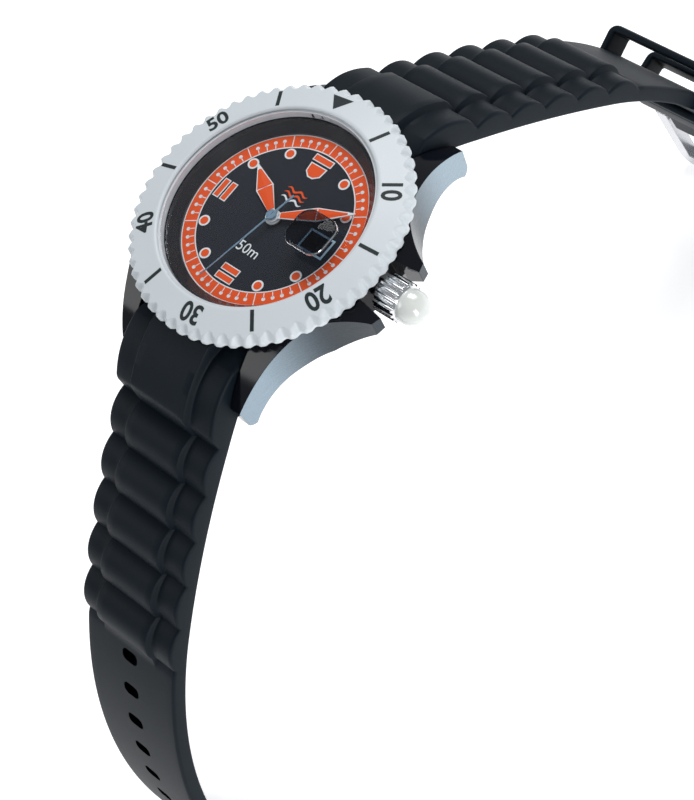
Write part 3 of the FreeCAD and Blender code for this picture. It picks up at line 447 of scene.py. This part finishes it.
def cut_away(thing, skins):
    """Cut closed skins out of a piece, and keep only the result."""
    tool = piece(thing.name + "_cut", skins, thing.data.materials[0], thing["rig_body"], thing["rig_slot"])
    modifier = thing.modifiers.new("cut", "BOOLEAN")
    modifier.operation, modifier.object, modifier.solver = "DIFFERENCE", tool, "EXACT"
    modifier.use_self = True
    bpy.context.view_layer.update()
    result = bpy.data.meshes.new_from_object(thing.evaluated_get(bpy.context.evaluated_depsgraph_get()))
    thing.modifiers.clear()
    thing.data = result
    result.set_sharp_from_angle(angle=math.radians(35.0))
    bpy.data.objects.remove(tool)


def strap_half_width(half, s):
    """Half the strap's width: a slight taper, then the pierced loop or the rounded tip."""
    length = BUCKLE_S if half == "strap_12" else TAIL_S
    tapered = min(1.0, max(0.0, s - TAPER_FROM) / (length - TAPER_FROM))
    wide = STRAP_HALF - (STRAP_HALF - STRAP_END_HALF) * tapered
    if half == "strap_12":
        t = min(1.0, max(0.0, (s - NECK_FROM) / NECK_RUN))
        return wide + (NECK_HALF - wide) * t * t * (3 - 2 * t)
    corner = 5.0
    past = max(0.0, s - (TAIL_S - corner))
    return wide - corner + math.sqrt(max(corner ** 2 - past ** 2, 0.04))


def strap_skin(half, end_s):
    """The whole strap half as one closed skin."""
    side_link, centre_link = LINKS[half]
    sides = row_tops(half, side_link, SIDE_VALLEY, SIDE_PEAK)
    centres = row_tops(half, centre_link, CENTRE_VALLEY, CENTRE_PEAK)
    bottoms = wrist_side(half)
    widths = [STRAP_HALF - LUG_GAP] * (len(sides) - RIDGE_STEPS * RIDGES)
    widths += [strap_half_width(half, FIRST_VALLEY + RIDGE_PITCH * i / RIDGE_STEPS)
               for i in range(RIDGE_STEPS * RIDGES)]
    tail_from = FIRST_VALLEY + RIDGES * RIDGE_PITCH
    nose, settle_run, tail_steps = TAIL_THICK / 2, 1.2, 150
    for i in range(tail_steps + 1):
        s = tail_from + (end_s - tail_from) * (1 - (1 - i / tail_steps) ** 1.5)
        settle = min(1.0, (s - tail_from) / settle_run)
        slim = max(0.0, s - (end_s - nose)) / nose
        squeeze = nose * (1 - math.sqrt(max(1 - slim ** 2, 0.004)))
        bottoms.append(above(half, s, squeeze))
        sides.append(above(half, s, SIDE_VALLEY + (TAIL_THICK - SIDE_VALLEY) * settle - squeeze))
        centres.append(above(half, s, CENTRE_VALLEY + (TAIL_THICK - CENTRE_VALLEY) * settle - squeeze))
        widths.append(strap_half_width(half, s))
    sign = 1 if half == "strap_12" else -1
    loops = []
    for bottom, side, centre, wide in zip(bottoms, sides, centres, widths):
        loop = edge_loop(bottom, side, centre, wide)
        if not loops:
            # The link's back face follows the round case
            loop = [(x, u - LINK_BACK + math.sqrt(LINK_BACK ** 2 - x ** 2), z) for x, u, z in loop]
        for i, (x, u, z) in enumerate(loop):
            if u < BAR_U:
                z = min(z, BAR_Z + math.sqrt(LINK_ROUND ** 2 - (BAR_U - u) ** 2))
            loop[i] = (x, sign * u, z)
        loops.append(loop)
    return loft(loops)


def laid(half, s, points, height=0.0):
    """Points built flat, +Y along the strap and +Z out of it, moved on to the strap."""
    u, z = above(half, s, height)
    heading = spine(half, s)[2]
    sign = 1 if half == "strap_12" else -1
    cos, sin = math.cos(heading), math.sin(heading)
    return [(x, sign * (u + y * cos + h * sin), z - y * sin + h * cos) for x, y, h in points]


def slot_hole(half, s, half_x, half_y, round_r):
    """Cutter for a round-cornered hole through the strap."""
    deep = 6.0
    outline = []
    for corner in range(4):
        cx = (half_x - round_r) * (1 if corner in (0, 3) else -1)
        cy = (half_y - round_r) * (1 if corner in (0, 1) else -1)
        for i in range(7):
            turn = math.pi / 2 * (corner + i / 6)
            outline.append((cx + round_r * math.cos(turn), cy + round_r * math.sin(turn)))
    return loft([laid(half, s, [(x, y, h) for x, y in outline], TAIL_THICK / 2)
                 for h in (-deep, deep)])


def silicone():
    made, shader, place = start("silicone", IOR=1.41, Specular_IOR_Level=0.15)
    fine, cloud = place.noise(0.16, 4.0), place.noise(7.0)
    feed(shader,
         Base_Color=(0.25 * fine + 0.75 * cloud).tint((0.002, 0.006, 0.010), (0.005, 0.010, 0.016)),
         Roughness=0.44 + 0.12 * fine,
         Normal=relief(fine, 0.02))
    return made


silicone_finish = silicone()
strap_12 = piece("strap_12_skin", [strap_skin("strap_12", BUCKLE_END)], silicone_finish,
                 "strap_12", "silicone", ["strap_12"])
cut_away(strap_12, [slot_hole("strap_12", TONGUE_SLOT_AT, *TONGUE_SLOT)])
strap_6 = piece("strap_6_skin", [strap_skin("strap_6", TAIL_END)], silicone_finish,
                "strap_6", "silicone", ["strap_6"])
cut_away(strap_6, [slot_hole("strap_6", FIRST_HOLE + HOLE_PITCH * i, *HOLE_SIZE) for i in range(HOLES)])


# Keepers: two silicone loops with rounded edges, long enough for two thicknesses of strap.
# The one nearer the buckle is moulded on to the strap, and the other slides.
def keeper_skin(length, wall, slack, s):
    """Closed loop with a rounded section, laid on the buckle half."""
    inner_half, inner_top, corner = STRAP_END_HALF + 0.78, 5.4, 1.0
    across_blunt, along_blunt, section_steps = 0.55, 0.30, 24
    half_x, low, high = inner_half + wall / 2, -slack - wall / 2, inner_top + wall / 2
    path = []
    for index, (cx, ch) in enumerate(((1, 1), (-1, 1), (-1, -1), (1, -1))):
        x = cx * (half_x - corner)
        h = (high - corner) if ch > 0 else (low + corner)
        for i in range(7):
            turn = math.pi / 2 * (index + i / 6)
            path.append((x + corner * math.cos(turn), h + corner * math.sin(turn), turn))
    section = []
    for k in range(section_steps):
        cos, sin = math.cos(2 * math.pi * k / section_steps), math.sin(2 * math.pi * k / section_steps)
        section.append((math.copysign(abs(cos) ** across_blunt, cos) * wall / 2 * 0.98,
                        math.copysign(abs(sin) ** along_blunt, sin) * length / 2))
    loops = []
    for x, h, turn in path:
        loops.append(laid("strap_12", s, [(x + out * math.cos(turn), along, h + out * math.sin(turn))
                                          for out, along in section]))
    return loft(loops, wrap=True)


piece("fixed_keeper_loop", [keeper_skin(length=5.0, wall=1.3, slack=0.12, s=75.5)], silicone_finish,
      "strap_12", "silicone", ["fixed_keeper"], sharp=60)
piece("free_keeper_loop", [keeper_skin(length=5.5, wall=1.4, slack=0.45, s=63.0)], silicone_finish,
      "free_keeper", "silicone", ["free_keeper"], sharp=60)


# Buckle and bars: stainless steel, brushed across. The pin passes through the end of the strap,
# and carries the frame and the tongue.
def brushed_steel():
    dull, bright = (0.464, 0.472, 0.488), (0.667, 0.6785, 0.7015)
    made, shader, place = start("buckle_steel", Metallic=1.0)
    brush, cloud = place.stretched(0.04, 1.0, 1.0).noise(0.08, 3.0), place.noise(4.0)
    feed(shader,
         Base_Color=(0.5 * brush + 0.5 * cloud).tint(dull, bright),
         Roughness=0.20 + 0.14 * brush,
         Normal=relief(brush, 0.003, soft_edge(place, 0.25)))
    return made


buckle_steel = brushed_steel()
for node in ("buckle_frame", "buckle_pin", "buckle_tongue", "spring_bars"):
    dress(node, buckle_steel)


# Bezel: satin pale plastic ring, moulded with a sloped face and sixty scallops for grip.
# The scallops lean inwards, so each leaves a leaf-shaped dent on the face's outer edge.
bezel_low, bezel_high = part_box("bezel")
BEZEL_R = (bezel_high.x - bezel_low.x) / 2 / MM
BEZEL_FOOT, BEZEL_LIP = bezel_low.z / MM, bezel_high.z / MM
SCALLOPS, SCALLOP_STEPS, BEZEL_TURNED = 60, 12, 6.9
FACE_IN, FACE_OUT, FACE_DROP = 16.4, 20.2, 0.9


def face_height(radius):
    """Height of the bezel's sloped face."""
    return BEZEL_LIP - FACE_DROP * (radius - FACE_IN) / (FACE_OUT - FACE_IN)


def rounded(corners, cut, steps=4):
    """Closed outline with each corner swapped for a short curve."""
    outline = []
    for i, corner in enumerate(corners):
        before, after = [blend_points(corner, other, min(cut / math.dist(corner, other), 0.45))
                         for other in (corners[i - 1], corners[(i + 1) % len(corners)])]
        for k in range(steps + 1):
            t = k / steps
            outline.append(blend_points(blend_points(before, corner, t), blend_points(corner, after, t), t))
    return outline


def divided(outline, longest):
    """Closed outline with its long runs split."""
    fine = []
    for i, a in enumerate(outline):
        b = outline[(i + 1) % len(outline)]
        count = max(1, math.ceil(math.dist(a, b) / longest))
        fine += [blend_points(a, b, k / count) for k in range(count)]
    return fine


def bezel_skin():
    """The ring, with each scallop hollowed out of its rim and leaning in towards the face."""
    profile = divided(rounded([(15.85, 10.74), (15.85, 11.0), (16.1, BEZEL_LIP), (FACE_IN, BEZEL_LIP),
                               (FACE_OUT, BEZEL_LIP - FACE_DROP), (20.8, 9.75), (BEZEL_R, 9.2),
                               (BEZEL_R, BEZEL_FOOT), (16.85, BEZEL_FOOT), (16.85, 10.74)], 0.12), 0.16)
    depth, lean, blunt, upright, crest_fill = 0.42, math.tan(math.radians(34)), 0.08, 0.5, 0.55
    reach_in = 18.0
    loops = []
    columns = SCALLOPS * SCALLOP_STEPS
    for i in range(columns):
        angle = 2 * math.pi * i / columns + math.radians(BEZEL_TURNED)
        t = (i / SCALLOP_STEPS + 0.5) % 1 * 2 - 1
        hollow = depth * (1.06 - math.sqrt(t ** 4 + 0.004))
        loop = []
        for radius, z in profile:
            limit = BEZEL_R - hollow - max(0.0, z - BEZEL_FOOT - upright) * lean * (1 - 0.15 * t * t)
            if abs(t) < 1 and radius > reach_in:
                limit += crest_fill * abs(t) ** 1.5
                radius = (radius + limit - math.sqrt((radius - limit) ** 2 + blunt ** 2)) / 2
            loop.append((radius * math.cos(angle), radius * math.sin(angle), z))
        loops.append(loop)
    return loft(loops, wrap=True)


def bezel_plastic():
    made, shader, place = start("bezel_plastic", IOR=1.50)
    fine, cloud = place.noise(0.22, 3.0), place.noise(9.0)
    feed(shader,
         Base_Color=(0.3 * fine + 0.7 * cloud).tint((0.56, 0.61, 0.64), (0.62, 0.67, 0.70)),
         Roughness=0.36 + 0.08 * fine,
         Normal=relief(fine, 0.004))
    return made


piece("bezel_ring", [bezel_skin()], bezel_plastic(), "bezel", "bezel_white", ["bezel"], sharp=50)


# Bezel scale: numerals every ten minutes, bars at the fives between and a triangle at zero.
# They are engraved and filled with black lacquer, and stand with their tops outward.
def ink(name, colour, gloss=0.45):
    made, shader, place = start(name, Specular_IOR_Level=0.2)
    fine = place.noise(0.12, 3.0)
    feed(shader, Base_Color=fine.tint([c * 0.88 for c in colour], colour),
         Roughness=gloss + 0.15 * fine, Normal=relief(fine, 0.002))
    return made


def slab(outline, low, high):
    """Closed plate on a flat outline."""
    return loft([[(x, y, low) for x, y in outline], [(x, y, high) for x, y in outline]])


def oblong(half_x, half_y, y=0.0):
    """Flat rectangle about a point on the Y axis."""
    return [(-half_x, y - half_y), (half_x, y - half_y), (half_x, y + half_y), (-half_x, y + half_y)]


def on_face(skin, angle, radius):
    """A flat skin, drawn about its own centre with +Y outward, laid on the bezel's face."""
    points, faces = skin
    turn = math.radians(angle - 90)
    cos, sin = math.cos(turn), math.sin(turn)
    laid_points = []
    for x, y, lift in points:
        y = y + radius
        px, py = x * cos - y * sin, x * sin + y * cos
        laid_points.append((px, py, face_height(math.hypot(px, py)) + lift))
    return laid_points, faces


def letters(text, size, low, high, bold=0.0, narrow=1.0):
    """Flat closed skins of a word about its centre, thickened and narrowed."""
    drawn = bpy.data.curves.new("drawn", "FONT")
    drawn.body, drawn.size, drawn.align_x, drawn.align_y = text, size, "CENTER", "CENTER"
    drawn.extrude, drawn.resolution_u, drawn.offset = (high - low) / 2, 4, bold
    thing = bpy.data.objects.new("drawn", drawn)
    scene.collection.objects.link(thing)
    bpy.context.view_layer.update()
    mesh = bpy.data.meshes.new_from_object(thing.evaluated_get(bpy.context.evaluated_depsgraph_get()))
    middle = (low + high) / 2
    points = [(v.co.x * narrow, v.co.y, v.co.z + middle) for v in mesh.vertices]
    faces = [tuple(f.vertices) for f in mesh.polygons]
    bpy.data.objects.remove(thing)
    return points, faces


def minute_angle(minute):
    """Direction of a minute on the dial, counter-clockwise from 3 o'clock."""
    return 90.0 - 6.0 * minute


INK_LOW, INK_HIGH = -0.05, 0.035
BAR_AT, NUMERAL_AT, TRIANGLE_AT, NUMERAL_SIZE = 17.86, 17.8, 17.9, 3.75
scale_marks = []
for minute in range(5, 60, 10):
    scale_marks.append(on_face(slab(oblong(0.27, 1.45), INK_LOW, INK_HIGH),
                               minute_angle(minute) + BEZEL_TURNED, BAR_AT))
for minute in range(10, 60, 10):
    numeral = letters(str(minute), NUMERAL_SIZE, INK_LOW, INK_HIGH, bold=0.09, narrow=0.9)
    scale_marks.append(on_face(numeral, minute_angle(minute) + BEZEL_TURNED, NUMERAL_AT))
triangle = [(-1.75, 1.2), (0.0, -1.2), (1.75, 1.2)]
scale_marks.append(on_face(slab(triangle, INK_LOW, INK_HIGH), minute_angle(0) + BEZEL_TURNED, TRIANGLE_AT))
piece("bezel_scale", scale_marks, ink("scale_ink", (0.02, 0.028, 0.03)), "bezel", "gloss_black")


# Dial: brass blank lacquered matte navy-black, printed in orange and white.
# The chapter ring carries lollipop pips for the minutes; the hour markers are filled plots.
DIAL_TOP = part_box("dial")[1].z / MM
RING_IN, RING_OUT, RING_LINE = 11.6, 13.63, 0.16
LAYER = 0.02
PRINT = DIAL_TOP + LAYER


def arc_band(inner, outer, low, high, steps=180):
    """Flat closed ring."""
    loops = []
    for i in range(steps):
        cos, sin = math.cos(2 * math.pi * i / steps), math.sin(2 * math.pi * i / steps)
        section = ((inner, low), (outer, low), (outer, high), (inner, high))
        loops.append([(r * cos, r * sin, z) for r, z in section])
    return loft(loops, wrap=True)


def round_pad(radius, at, low, high):
    """Small flat disc."""
    turns = [2 * math.pi * i / 32 for i in range(32)]
    return slab([(at[0] + radius * math.cos(t), at[1] + radius * math.sin(t)) for t in turns], low, high)


def pointing(outline, minute, radius):
    """A flat outline drawn with +Y outward, moved to a minute and radius."""
    turn = math.radians(minute_angle(minute) - 90)
    cos, sin = math.cos(turn), math.sin(turn)
    return [(x * cos - (y + radius) * sin, x * sin + (y + radius) * cos) for x, y in outline]


def printed(sheet, outline, minute, radius, low, high):
    """Add a flat outline to a sheet of print, at a minute and radius."""
    sheet.append(slab(pointing(outline, minute, radius), low, high))


white_print, orange_print = [], []
orange_print.append(arc_band(RING_IN + RING_LINE / 2, RING_OUT - RING_LINE / 2, DIAL_TOP - LAYER, PRINT))
for radius in (RING_IN, RING_OUT):
    white_print.append(arc_band(radius - RING_LINE / 2, radius + RING_LINE / 2,
                                DIAL_TOP - LAYER, PRINT + LAYER))
PIP_AT, PIP_R, PIP_STEM, STEM_Y = 12.72, 0.28, (0.06, 0.4), -0.55
for minute in range(60):
    if minute % 5 == 0:
        printed(white_print, oblong(0.07, (RING_OUT - RING_IN) / 2), minute, (RING_IN + RING_OUT) / 2,
                PRINT - LAYER, PRINT + LAYER)
    else:
        pip = pointing([(0, 0)], minute, PIP_AT)[0]
        white_print.append(round_pad(PIP_R, pip, PRINT - LAYER, PRINT + LAYER))
        printed(white_print, oblong(*PIP_STEM, STEM_Y), minute, PIP_AT, PRINT - LAYER, PRINT + LAYER)

# Hour plots: round at most hours, two bars at six and nine, a bar over a shield at twelve.
MARKER_LOW, MARKER_RIM, MARKER_FILL = DIAL_TOP - LAYER, DIAL_TOP + 0.05, DIAL_TOP + 0.07
PLOT_AT, PLOT_R, PLOT_FILL_R = 10.55, 0.86, 0.60
BARS_AT, BAR_HALF, BAR_RIM = (10.6, 9.2), (1.55, 0.55), 0.15
SHIELD_AT = 8.75
for minute in range(0, 60, 5):
    if minute % 15:
        at = pointing([(0, 0)], minute, PLOT_AT)[0]
        white_print.append(round_pad(PLOT_R, at, MARKER_LOW, MARKER_RIM))
        orange_print.append(round_pad(PLOT_FILL_R, at, MARKER_LOW, MARKER_FILL))
for minute in (30, 45):
    for radius in BARS_AT:
        printed(white_print, oblong(*BAR_HALF), minute, radius, MARKER_LOW, MARKER_RIM)
        printed(orange_print, oblong(BAR_HALF[0] - BAR_RIM, BAR_HALF[1] - BAR_RIM), minute, radius,
                MARKER_LOW, MARKER_FILL)
printed(white_print, oblong(1.75, 0.55), 0, BARS_AT[0], MARKER_LOW, MARKER_RIM)
printed(orange_print, oblong(1.6, 0.4), 0, BARS_AT[0], MARKER_LOW, MARKER_FILL)
shield = [(-1.55, 0.95), (-1.35, -0.55), (-0.45, -1.25), (0.45, -1.25), (1.35, -0.55), (1.55, 0.95)]
shield_fill = [(x * 0.87, y * 0.84) for x, y in shield]
printed(white_print, shield, 0, SHIELD_AT, MARKER_LOW, MARKER_RIM)
printed(orange_print, shield_fill, 0, SHIELD_AT, MARKER_LOW, MARKER_FILL)

# A plain three-wave emblem under twelve, and the depth rating over six.
WAVE_HALF, WAVE_HIGH, WAVE_RATE, WAVE_LINE, WAVE_PITCH = 1.9, 0.22, 3.3, 0.17, 0.75
EMBLEM_AT, RATING_AT, RATING_SIZE = (0.1, 4.9), -5.6, 2.3
for k in range(3):
    wave, samples = [], 24
    for i in range(samples + 1):
        x = -WAVE_HALF + 2 * WAVE_HALF * i / samples
        wave.append((x, WAVE_HIGH * math.sin(x * WAVE_RATE), WAVE_LINE * (1 - (x / 2.0) ** 4)))
    outline = [(x, y + w) for x, y, w in wave] + [(x, y - w) for x, y, w in reversed(wave)]
    band = slab([(x + EMBLEM_AT[0], y + EMBLEM_AT[1] - WAVE_PITCH * k) for x, y in outline],
                DIAL_TOP - LAYER, PRINT)
    (white_print if k == 2 else orange_print).append(band)
rating_points, rating_faces = letters("50m", RATING_SIZE, DIAL_TOP - LAYER, PRINT)
white_print.append(([(x, y + RATING_AT, z) for x, y, z in rating_points], rating_faces))
white_ink = ink("white_ink", (0.95, 0.96, 0.97))
orange_ink = ink("orange_ink", (1.0, 0.105, 0.010), gloss=0.4)
piece("dial_white_print", white_print, white_ink, "case", "dial_black")
piece("dial_orange_print", orange_print, orange_ink, "case", "dial_black")


def dial_lacquer():
    made, shader, place = start("dial_lacquer", Specular_IOR_Level=0.2)
    fine, cloud = place.noise(0.10, 3.0), place.noise(5.0)
    feed(shader,
         Base_Color=(0.5 * fine + 0.5 * cloud).tint((0.009, 0.011, 0.018), (0.013, 0.016, 0.025)),
         Roughness=0.55 + 0.15 * fine, Normal=relief(fine, 0.001))
    return made


lacquer = dial_lacquer()
dress("dial", lacquer)
dress("date_disc", lacquer)

# The date window's printed frame, pale blue.
WINDOW_X, WINDOW_HALF, FRAME_WIDE = 8.2, (2.0, 1.35), 0.3
window_frame = []
for (ox, oy), (ix, iy) in zip(oblong(WINDOW_HALF[0] + FRAME_WIDE, WINDOW_HALF[1] + FRAME_WIDE),
                              oblong(*WINDOW_HALF)):
    window_frame.append([(WINDOW_X + ox, oy, DIAL_TOP - LAYER), (WINDOW_X + ox, oy, PRINT + LAYER),
                         (WINDOW_X + ix, iy, PRINT + LAYER), (WINDOW_X + ix, iy, DIAL_TOP - LAYER)])
piece("date_frame", [loft(window_frame, wrap=True)], ink("frame_ink", (0.42, 0.60, 0.72)),
      "case", "dial_black")


# Dates: white numbers printed round a black disc that turns under the dial.
# Each is upright when it stands in the window at three o'clock.
DISC_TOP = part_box("date_disc")[1].z / MM
DAYS, DAY_SHOWN, DATES_AT, DATE_SIZE = 31, 17, 10.2, 1.7


def turned_skin(skin, degrees):
    """A skin drawn along +X, turned about the dial's centre."""
    cos, sin = math.cos(math.radians(degrees)), math.sin(math.radians(degrees))
    points, faces = skin
    return [(x * cos - y * sin, x * sin + y * cos, z) for x, y, z in points], faces


dates = []
for number in range(1, DAYS + 1):
    points, faces = letters(str(number), DATE_SIZE, DISC_TOP - 0.01, DISC_TOP + 0.015)
    outward = [(x + DATES_AT, y, z) for x, y, z in points]
    dates.append(turned_skin((outward, faces), (number - DAY_SHOWN) * 360.0 / DAYS))
piece("date_numbers", dates, white_ink, "date_disc", "date_black")


# Hands: brass plates lacquered white, each filled orange in two raised fields; the seconds hand
# is a blued steel needle. All are pressed on to the arbors at the dial's centre.
HOUR_ANGLE, MINUTE_ANGLE = 90 + 56.0, 90 - 60.0


def hand(node, body, angle, length, waist, width, root, hub, bore):
    """White plate with a hub eye, and an orange field either side of its widest place, the waist."""
    low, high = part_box(node)[0].z / MM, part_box(node)[1].z / MM
    rim, gap, tip_gap, tip_half = 0.17, 0.09, 1.1, 0.08
    plate = [(hub * 0.9, -root / 2), (waist, -width / 2), (length, -tip_half), (length, tip_half),
             (waist, width / 2), (hub * 0.9, root / 2)]
    skins = [turned_skin(slab(plate, low, high), angle),
             turned_skin(arc_band(bore, hub, low, high, steps=48), angle)]
    piece(node + "_plate", skins, white_ink, body, "hand_orange", [node])
    near, tip = hub + 0.25, length - tip_gap
    near_half = root / 2 + (width - root) / 2 * (near / waist) - rim
    far_half = max(width / 2 * tip_gap / (length - waist) - rim * 0.45, 0.03)
    waist_half = width / 2 - rim
    back_field = [(near, -near_half), (waist - gap, -waist_half),
                  (waist - gap, waist_half), (near, near_half)]
    front_field = [(waist + gap, -waist_half), (tip, -far_half),
                   (tip, far_half), (waist + gap, waist_half)]
    fields = []
    for field in (back_field, front_field):
        levels = [[(x, y, high - 0.03) for x, y in field], [(x, y, high + 0.02) for x, y in field],
                  [(x, 0.0, high + 0.10) for x, _ in field]]
        points, faces = loft(levels)
        fields.append(turned_skin((points, faces[:-1]), angle))
    piece(node + "_fill", fields, orange_ink, body, "hand_orange", sharp=12)


hand("hour_hand", "hours", HOUR_ANGLE, length=9.8, waist=5.4, width=2.6, root=0.9, hub=1.15, bore=0.8)
hand("minute_hand", "minutes", MINUTE_ANGLE, length=12.2, waist=6.6, width=2.2, root=0.9, hub=1.0, bore=0.5)


def blued():
    made, shader, place = start("blued_steel", Metallic=0.6)
    brush = place.stretched(1.0, 0.2, 1.0).noise(0.2)
    feed(shader, Base_Color=brush.tint((0.22, 0.34, 0.46), (0.34, 0.48, 0.62)),
         Roughness=0.22 + 0.12 * brush, Normal=relief(brush, 0.002, soft_edge(place, 0.03)))
    return made


dress("second_hand", blued())


# Flange: conical ring that spaces the dial from the glass, moulded in glossy black plastic.
# Its cone keeps faint lines of the turned mould.
def flange_black():
    made, shader, place = start("flange_black", IOR=1.5)
    lines = (place.axis(2) * 60.0).math("SINE") * 0.5 + 0.5
    cloud = place.noise(4.0)
    feed(shader, Base_Color=cloud.tint((0.006, 0.006, 0.009), (0.012, 0.011, 0.014)),
         Roughness=0.16 + 0.1 * cloud, Normal=relief(lines, 0.003))
    return made


dress("flange_ring", flange_black())


# Crystal and gasket: a flat disc of clear mineral glass with a polished edge.
# It is pressed into the case inside a white nylon ring.
def glazed(made, shader, mirror, tint):
    """A clear surface of a tint, with the shader's reflection laid over it by the mirror's share."""
    tree = made.node_tree
    see_through = mirror.add("BsdfTransparent", {}, {"Color": (*tint, 1)})
    mixed = mirror.add("MixShader", {}, {0: mirror, 1: see_through, 2: Tap(tree, shader.outputs[0])})
    tree.links.new(mixed.socket, tree.nodes["Material Output"].inputs["Surface"])
    return made


def clear_glass():
    made, shader, place = start("clear_glass", Base_Color=(0.97, 0.98, 1.0, 1), Roughness=0.03, Metallic=1.0)
    edge, smear = place.add("Fresnel", {}, {"IOR": 1.42}), place.noise(6.0, 3.0)
    return glazed(made, shader, edge * (0.22 + 0.08 * smear), (0.97, 0.985, 0.99))


dress("crystal", clear_glass())


def nylon():
    made, shader, place = start("nylon", IOR=1.53)
    cloud, fine = place.noise(2.0), place.noise(0.2)
    feed(shader, Base_Color=cloud.tint((0.62, 0.66, 0.70), (0.82, 0.85, 0.88)),
         Roughness=0.12 + 0.1 * cloud, Normal=relief(fine, 0.004))
    return made


dress("crystal_gasket", nylon())


# Date lens: a smoke-tinted acrylic block over the date, moulded with a dome to magnify it.
# It is bonded on the glass, and its wall reflects more than its top.
def lens_acrylic():
    made, shader, place = start("lens_acrylic", Base_Color=(0.96, 0.98, 1.0, 1), Roughness=0.04, Metallic=1.0)
    wall = abs(place.add("TexCoord", {}, {}, 1).axis(2)).between(0.8, 0.2)
    edge, smear = place.add("Fresnel", {}, {"IOR": 1.49}), place.noise(3.0)
    return glazed(made, shader, edge * (0.22 + 0.1 * smear) + wall * 0.9, (0.42, 0.44, 0.48))


def lens_skin():
    """Round-cornered block whose edge rolls over into a dome."""
    low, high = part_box("date_lens")
    cx, half_x, half_y = (low.x + high.x) / 2 / MM, (high.x - low.x) / 2 / MM, (high.y - low.y) / 2 / MM
    bond, dome_r, corner = 0.04, 11.0, 1.9
    foot, top = low.z / MM + bond, high.z / MM
    edge_levels = ((1.0, 0.0), (1.0, 0.55), (0.985, 0.80), (0.94, 0.95), (0.87, 1.0))
    dome_scales = (0.75, 0.6, 0.45, 0.3, 0.15, 0.03)
    outline = []
    for index in range(4):
        sx, sy = (1 if index in (0, 3) else -1), (1 if index in (0, 1) else -1)
        for i in range(9):
            turn = math.pi / 2 * (index + i / 8)
            outline.append(((half_x - corner) * sx + corner * math.cos(turn),
                            (half_y - corner) * sy + corner * math.sin(turn)))

    def dome(x, y):
        return top - (x * x + y * y) / (2 * dome_r)

    loops = []
    for scale, rise in edge_levels + tuple((scale, 1.0) for scale in dome_scales):
        loops.append([(cx + x * scale, y * scale, foot + (dome(x * scale, y * scale) - foot) * rise)
                      for x, y in outline])
    return loft(loops)


piece("date_lens_dome", [lens_skin()], lens_acrylic(), "case", "glass", ["date_lens"], sharp=50)


# Crown: turned steel with milled flutes, polished, with a pearl-white resin button in its end.
# It is screwed on the winding stem, and stands between the case's guards.
def polished_steel():
    made, shader, place = start("polished_steel", Metallic=1.0)
    cloud = place.noise(1.5, 3.0)
    feed(shader, Base_Color=cloud.tint((0.74, 0.75, 0.77), (0.86, 0.87, 0.89)),
         Roughness=0.06 + 0.08 * cloud, Normal=relief(cloud, 0.01, soft_edge(place, 0.06)))
    return made


def pearl():
    made, shader, place = start("pearl", IOR=1.55, Coat_Weight=0.6, Coat_Roughness=0.05)
    swirl, cloud = place.noise(0.9, 3.0), place.noise(2.5)
    feed(shader, Base_Color=(0.4 * swirl + 0.6 * cloud).tint((0.62, 0.66, 0.63), (0.74, 0.76, 0.73)),
         Roughness=0.14 + 0.12 * cloud, Normal=relief(swirl, 0.004))
    return made


dress("crown", polished_steel())
dress("crown_cap", pearl())


# Movement and hidden parts: brass wheels, steel springs and arbors and a soft iron stator, held
# between a moulded plate and a steel bridge; the gaskets are rubber. Each finish's numbers are its
# colour, roughness, metallic, grain in millimetres and depth of tooth in millimetres.
def worked(name, colour, rough, metal, grain, depth):
    """Finish with cloudy colour, uneven gloss and a fine tooth."""
    made, shader, place = start(name, Metallic=metal)
    fine, cloud = place.noise(grain, 3.0), place.noise(grain * 12)
    feed(shader, Base_Color=(0.4 * fine + 0.6 * cloud).tint([c * 0.8 for c in colour], colour),
         Roughness=rough + 0.15 * fine, Normal=relief(fine, depth))
    return made


WORKED_FINISHES = {
    "gilt_brass": (((0.78, 0.60, 0.28), 0.22, 1.0, 0.08, 0.002),
                   ("cannon_pinion", "minute_wheel", "hour_wheel", "setting_wheel", "fourth_wheel",
                    "third_wheel", "reduction_wheel")),
    "acetal": (((0.72, 0.68, 0.55), 0.40, 0.0, 0.15, 0.004), ("date_driving_wheel",)),
    "movement_steel": (((0.62, 0.63, 0.65), 0.20, 1.0, 0.10, 0.002),
                       ("rotor", "train_bridge", "bridge_screws", "battery_clamp", "winding_stem",
                        "clutch_pinion", "setting_lever", "crown_tube", "bezel_wire", "bezel_click_spring")),
    "plated_can": (((0.72, 0.72, 0.70), 0.16, 1.0, 0.12, 0.002), ("quartz_can", "battery")),
    "soft_iron": (((0.40, 0.41, 0.43), 0.38, 1.0, 0.10, 0.004), ("stator",)),
    "enamelled_copper": (((0.70, 0.28, 0.12), 0.30, 0.9, 0.06, 0.01), ("drive_coil",)),
    "board_green": (((0.04, 0.22, 0.11), 0.35, 0.0, 0.20, 0.003), ("circuit_board",)),
    "plate_resin": (((0.10, 0.11, 0.12), 0.45, 0.0, 0.15, 0.006), ("main_plate",)),
    "holder_resin": (((0.80, 0.80, 0.78), 0.45, 0.0, 0.15, 0.006), ("movement_holder",)),
    "nitrile": (((0.02, 0.02, 0.02), 0.50, 0.0, 0.12, 0.006), ("case_back_gasket", "crown_gasket")),
}
for finish_name, (settings, nodes) in WORKED_FINISHES.items():
    finish = worked(finish_name, *settings)
    for node in nodes:
        dress(node, finish)
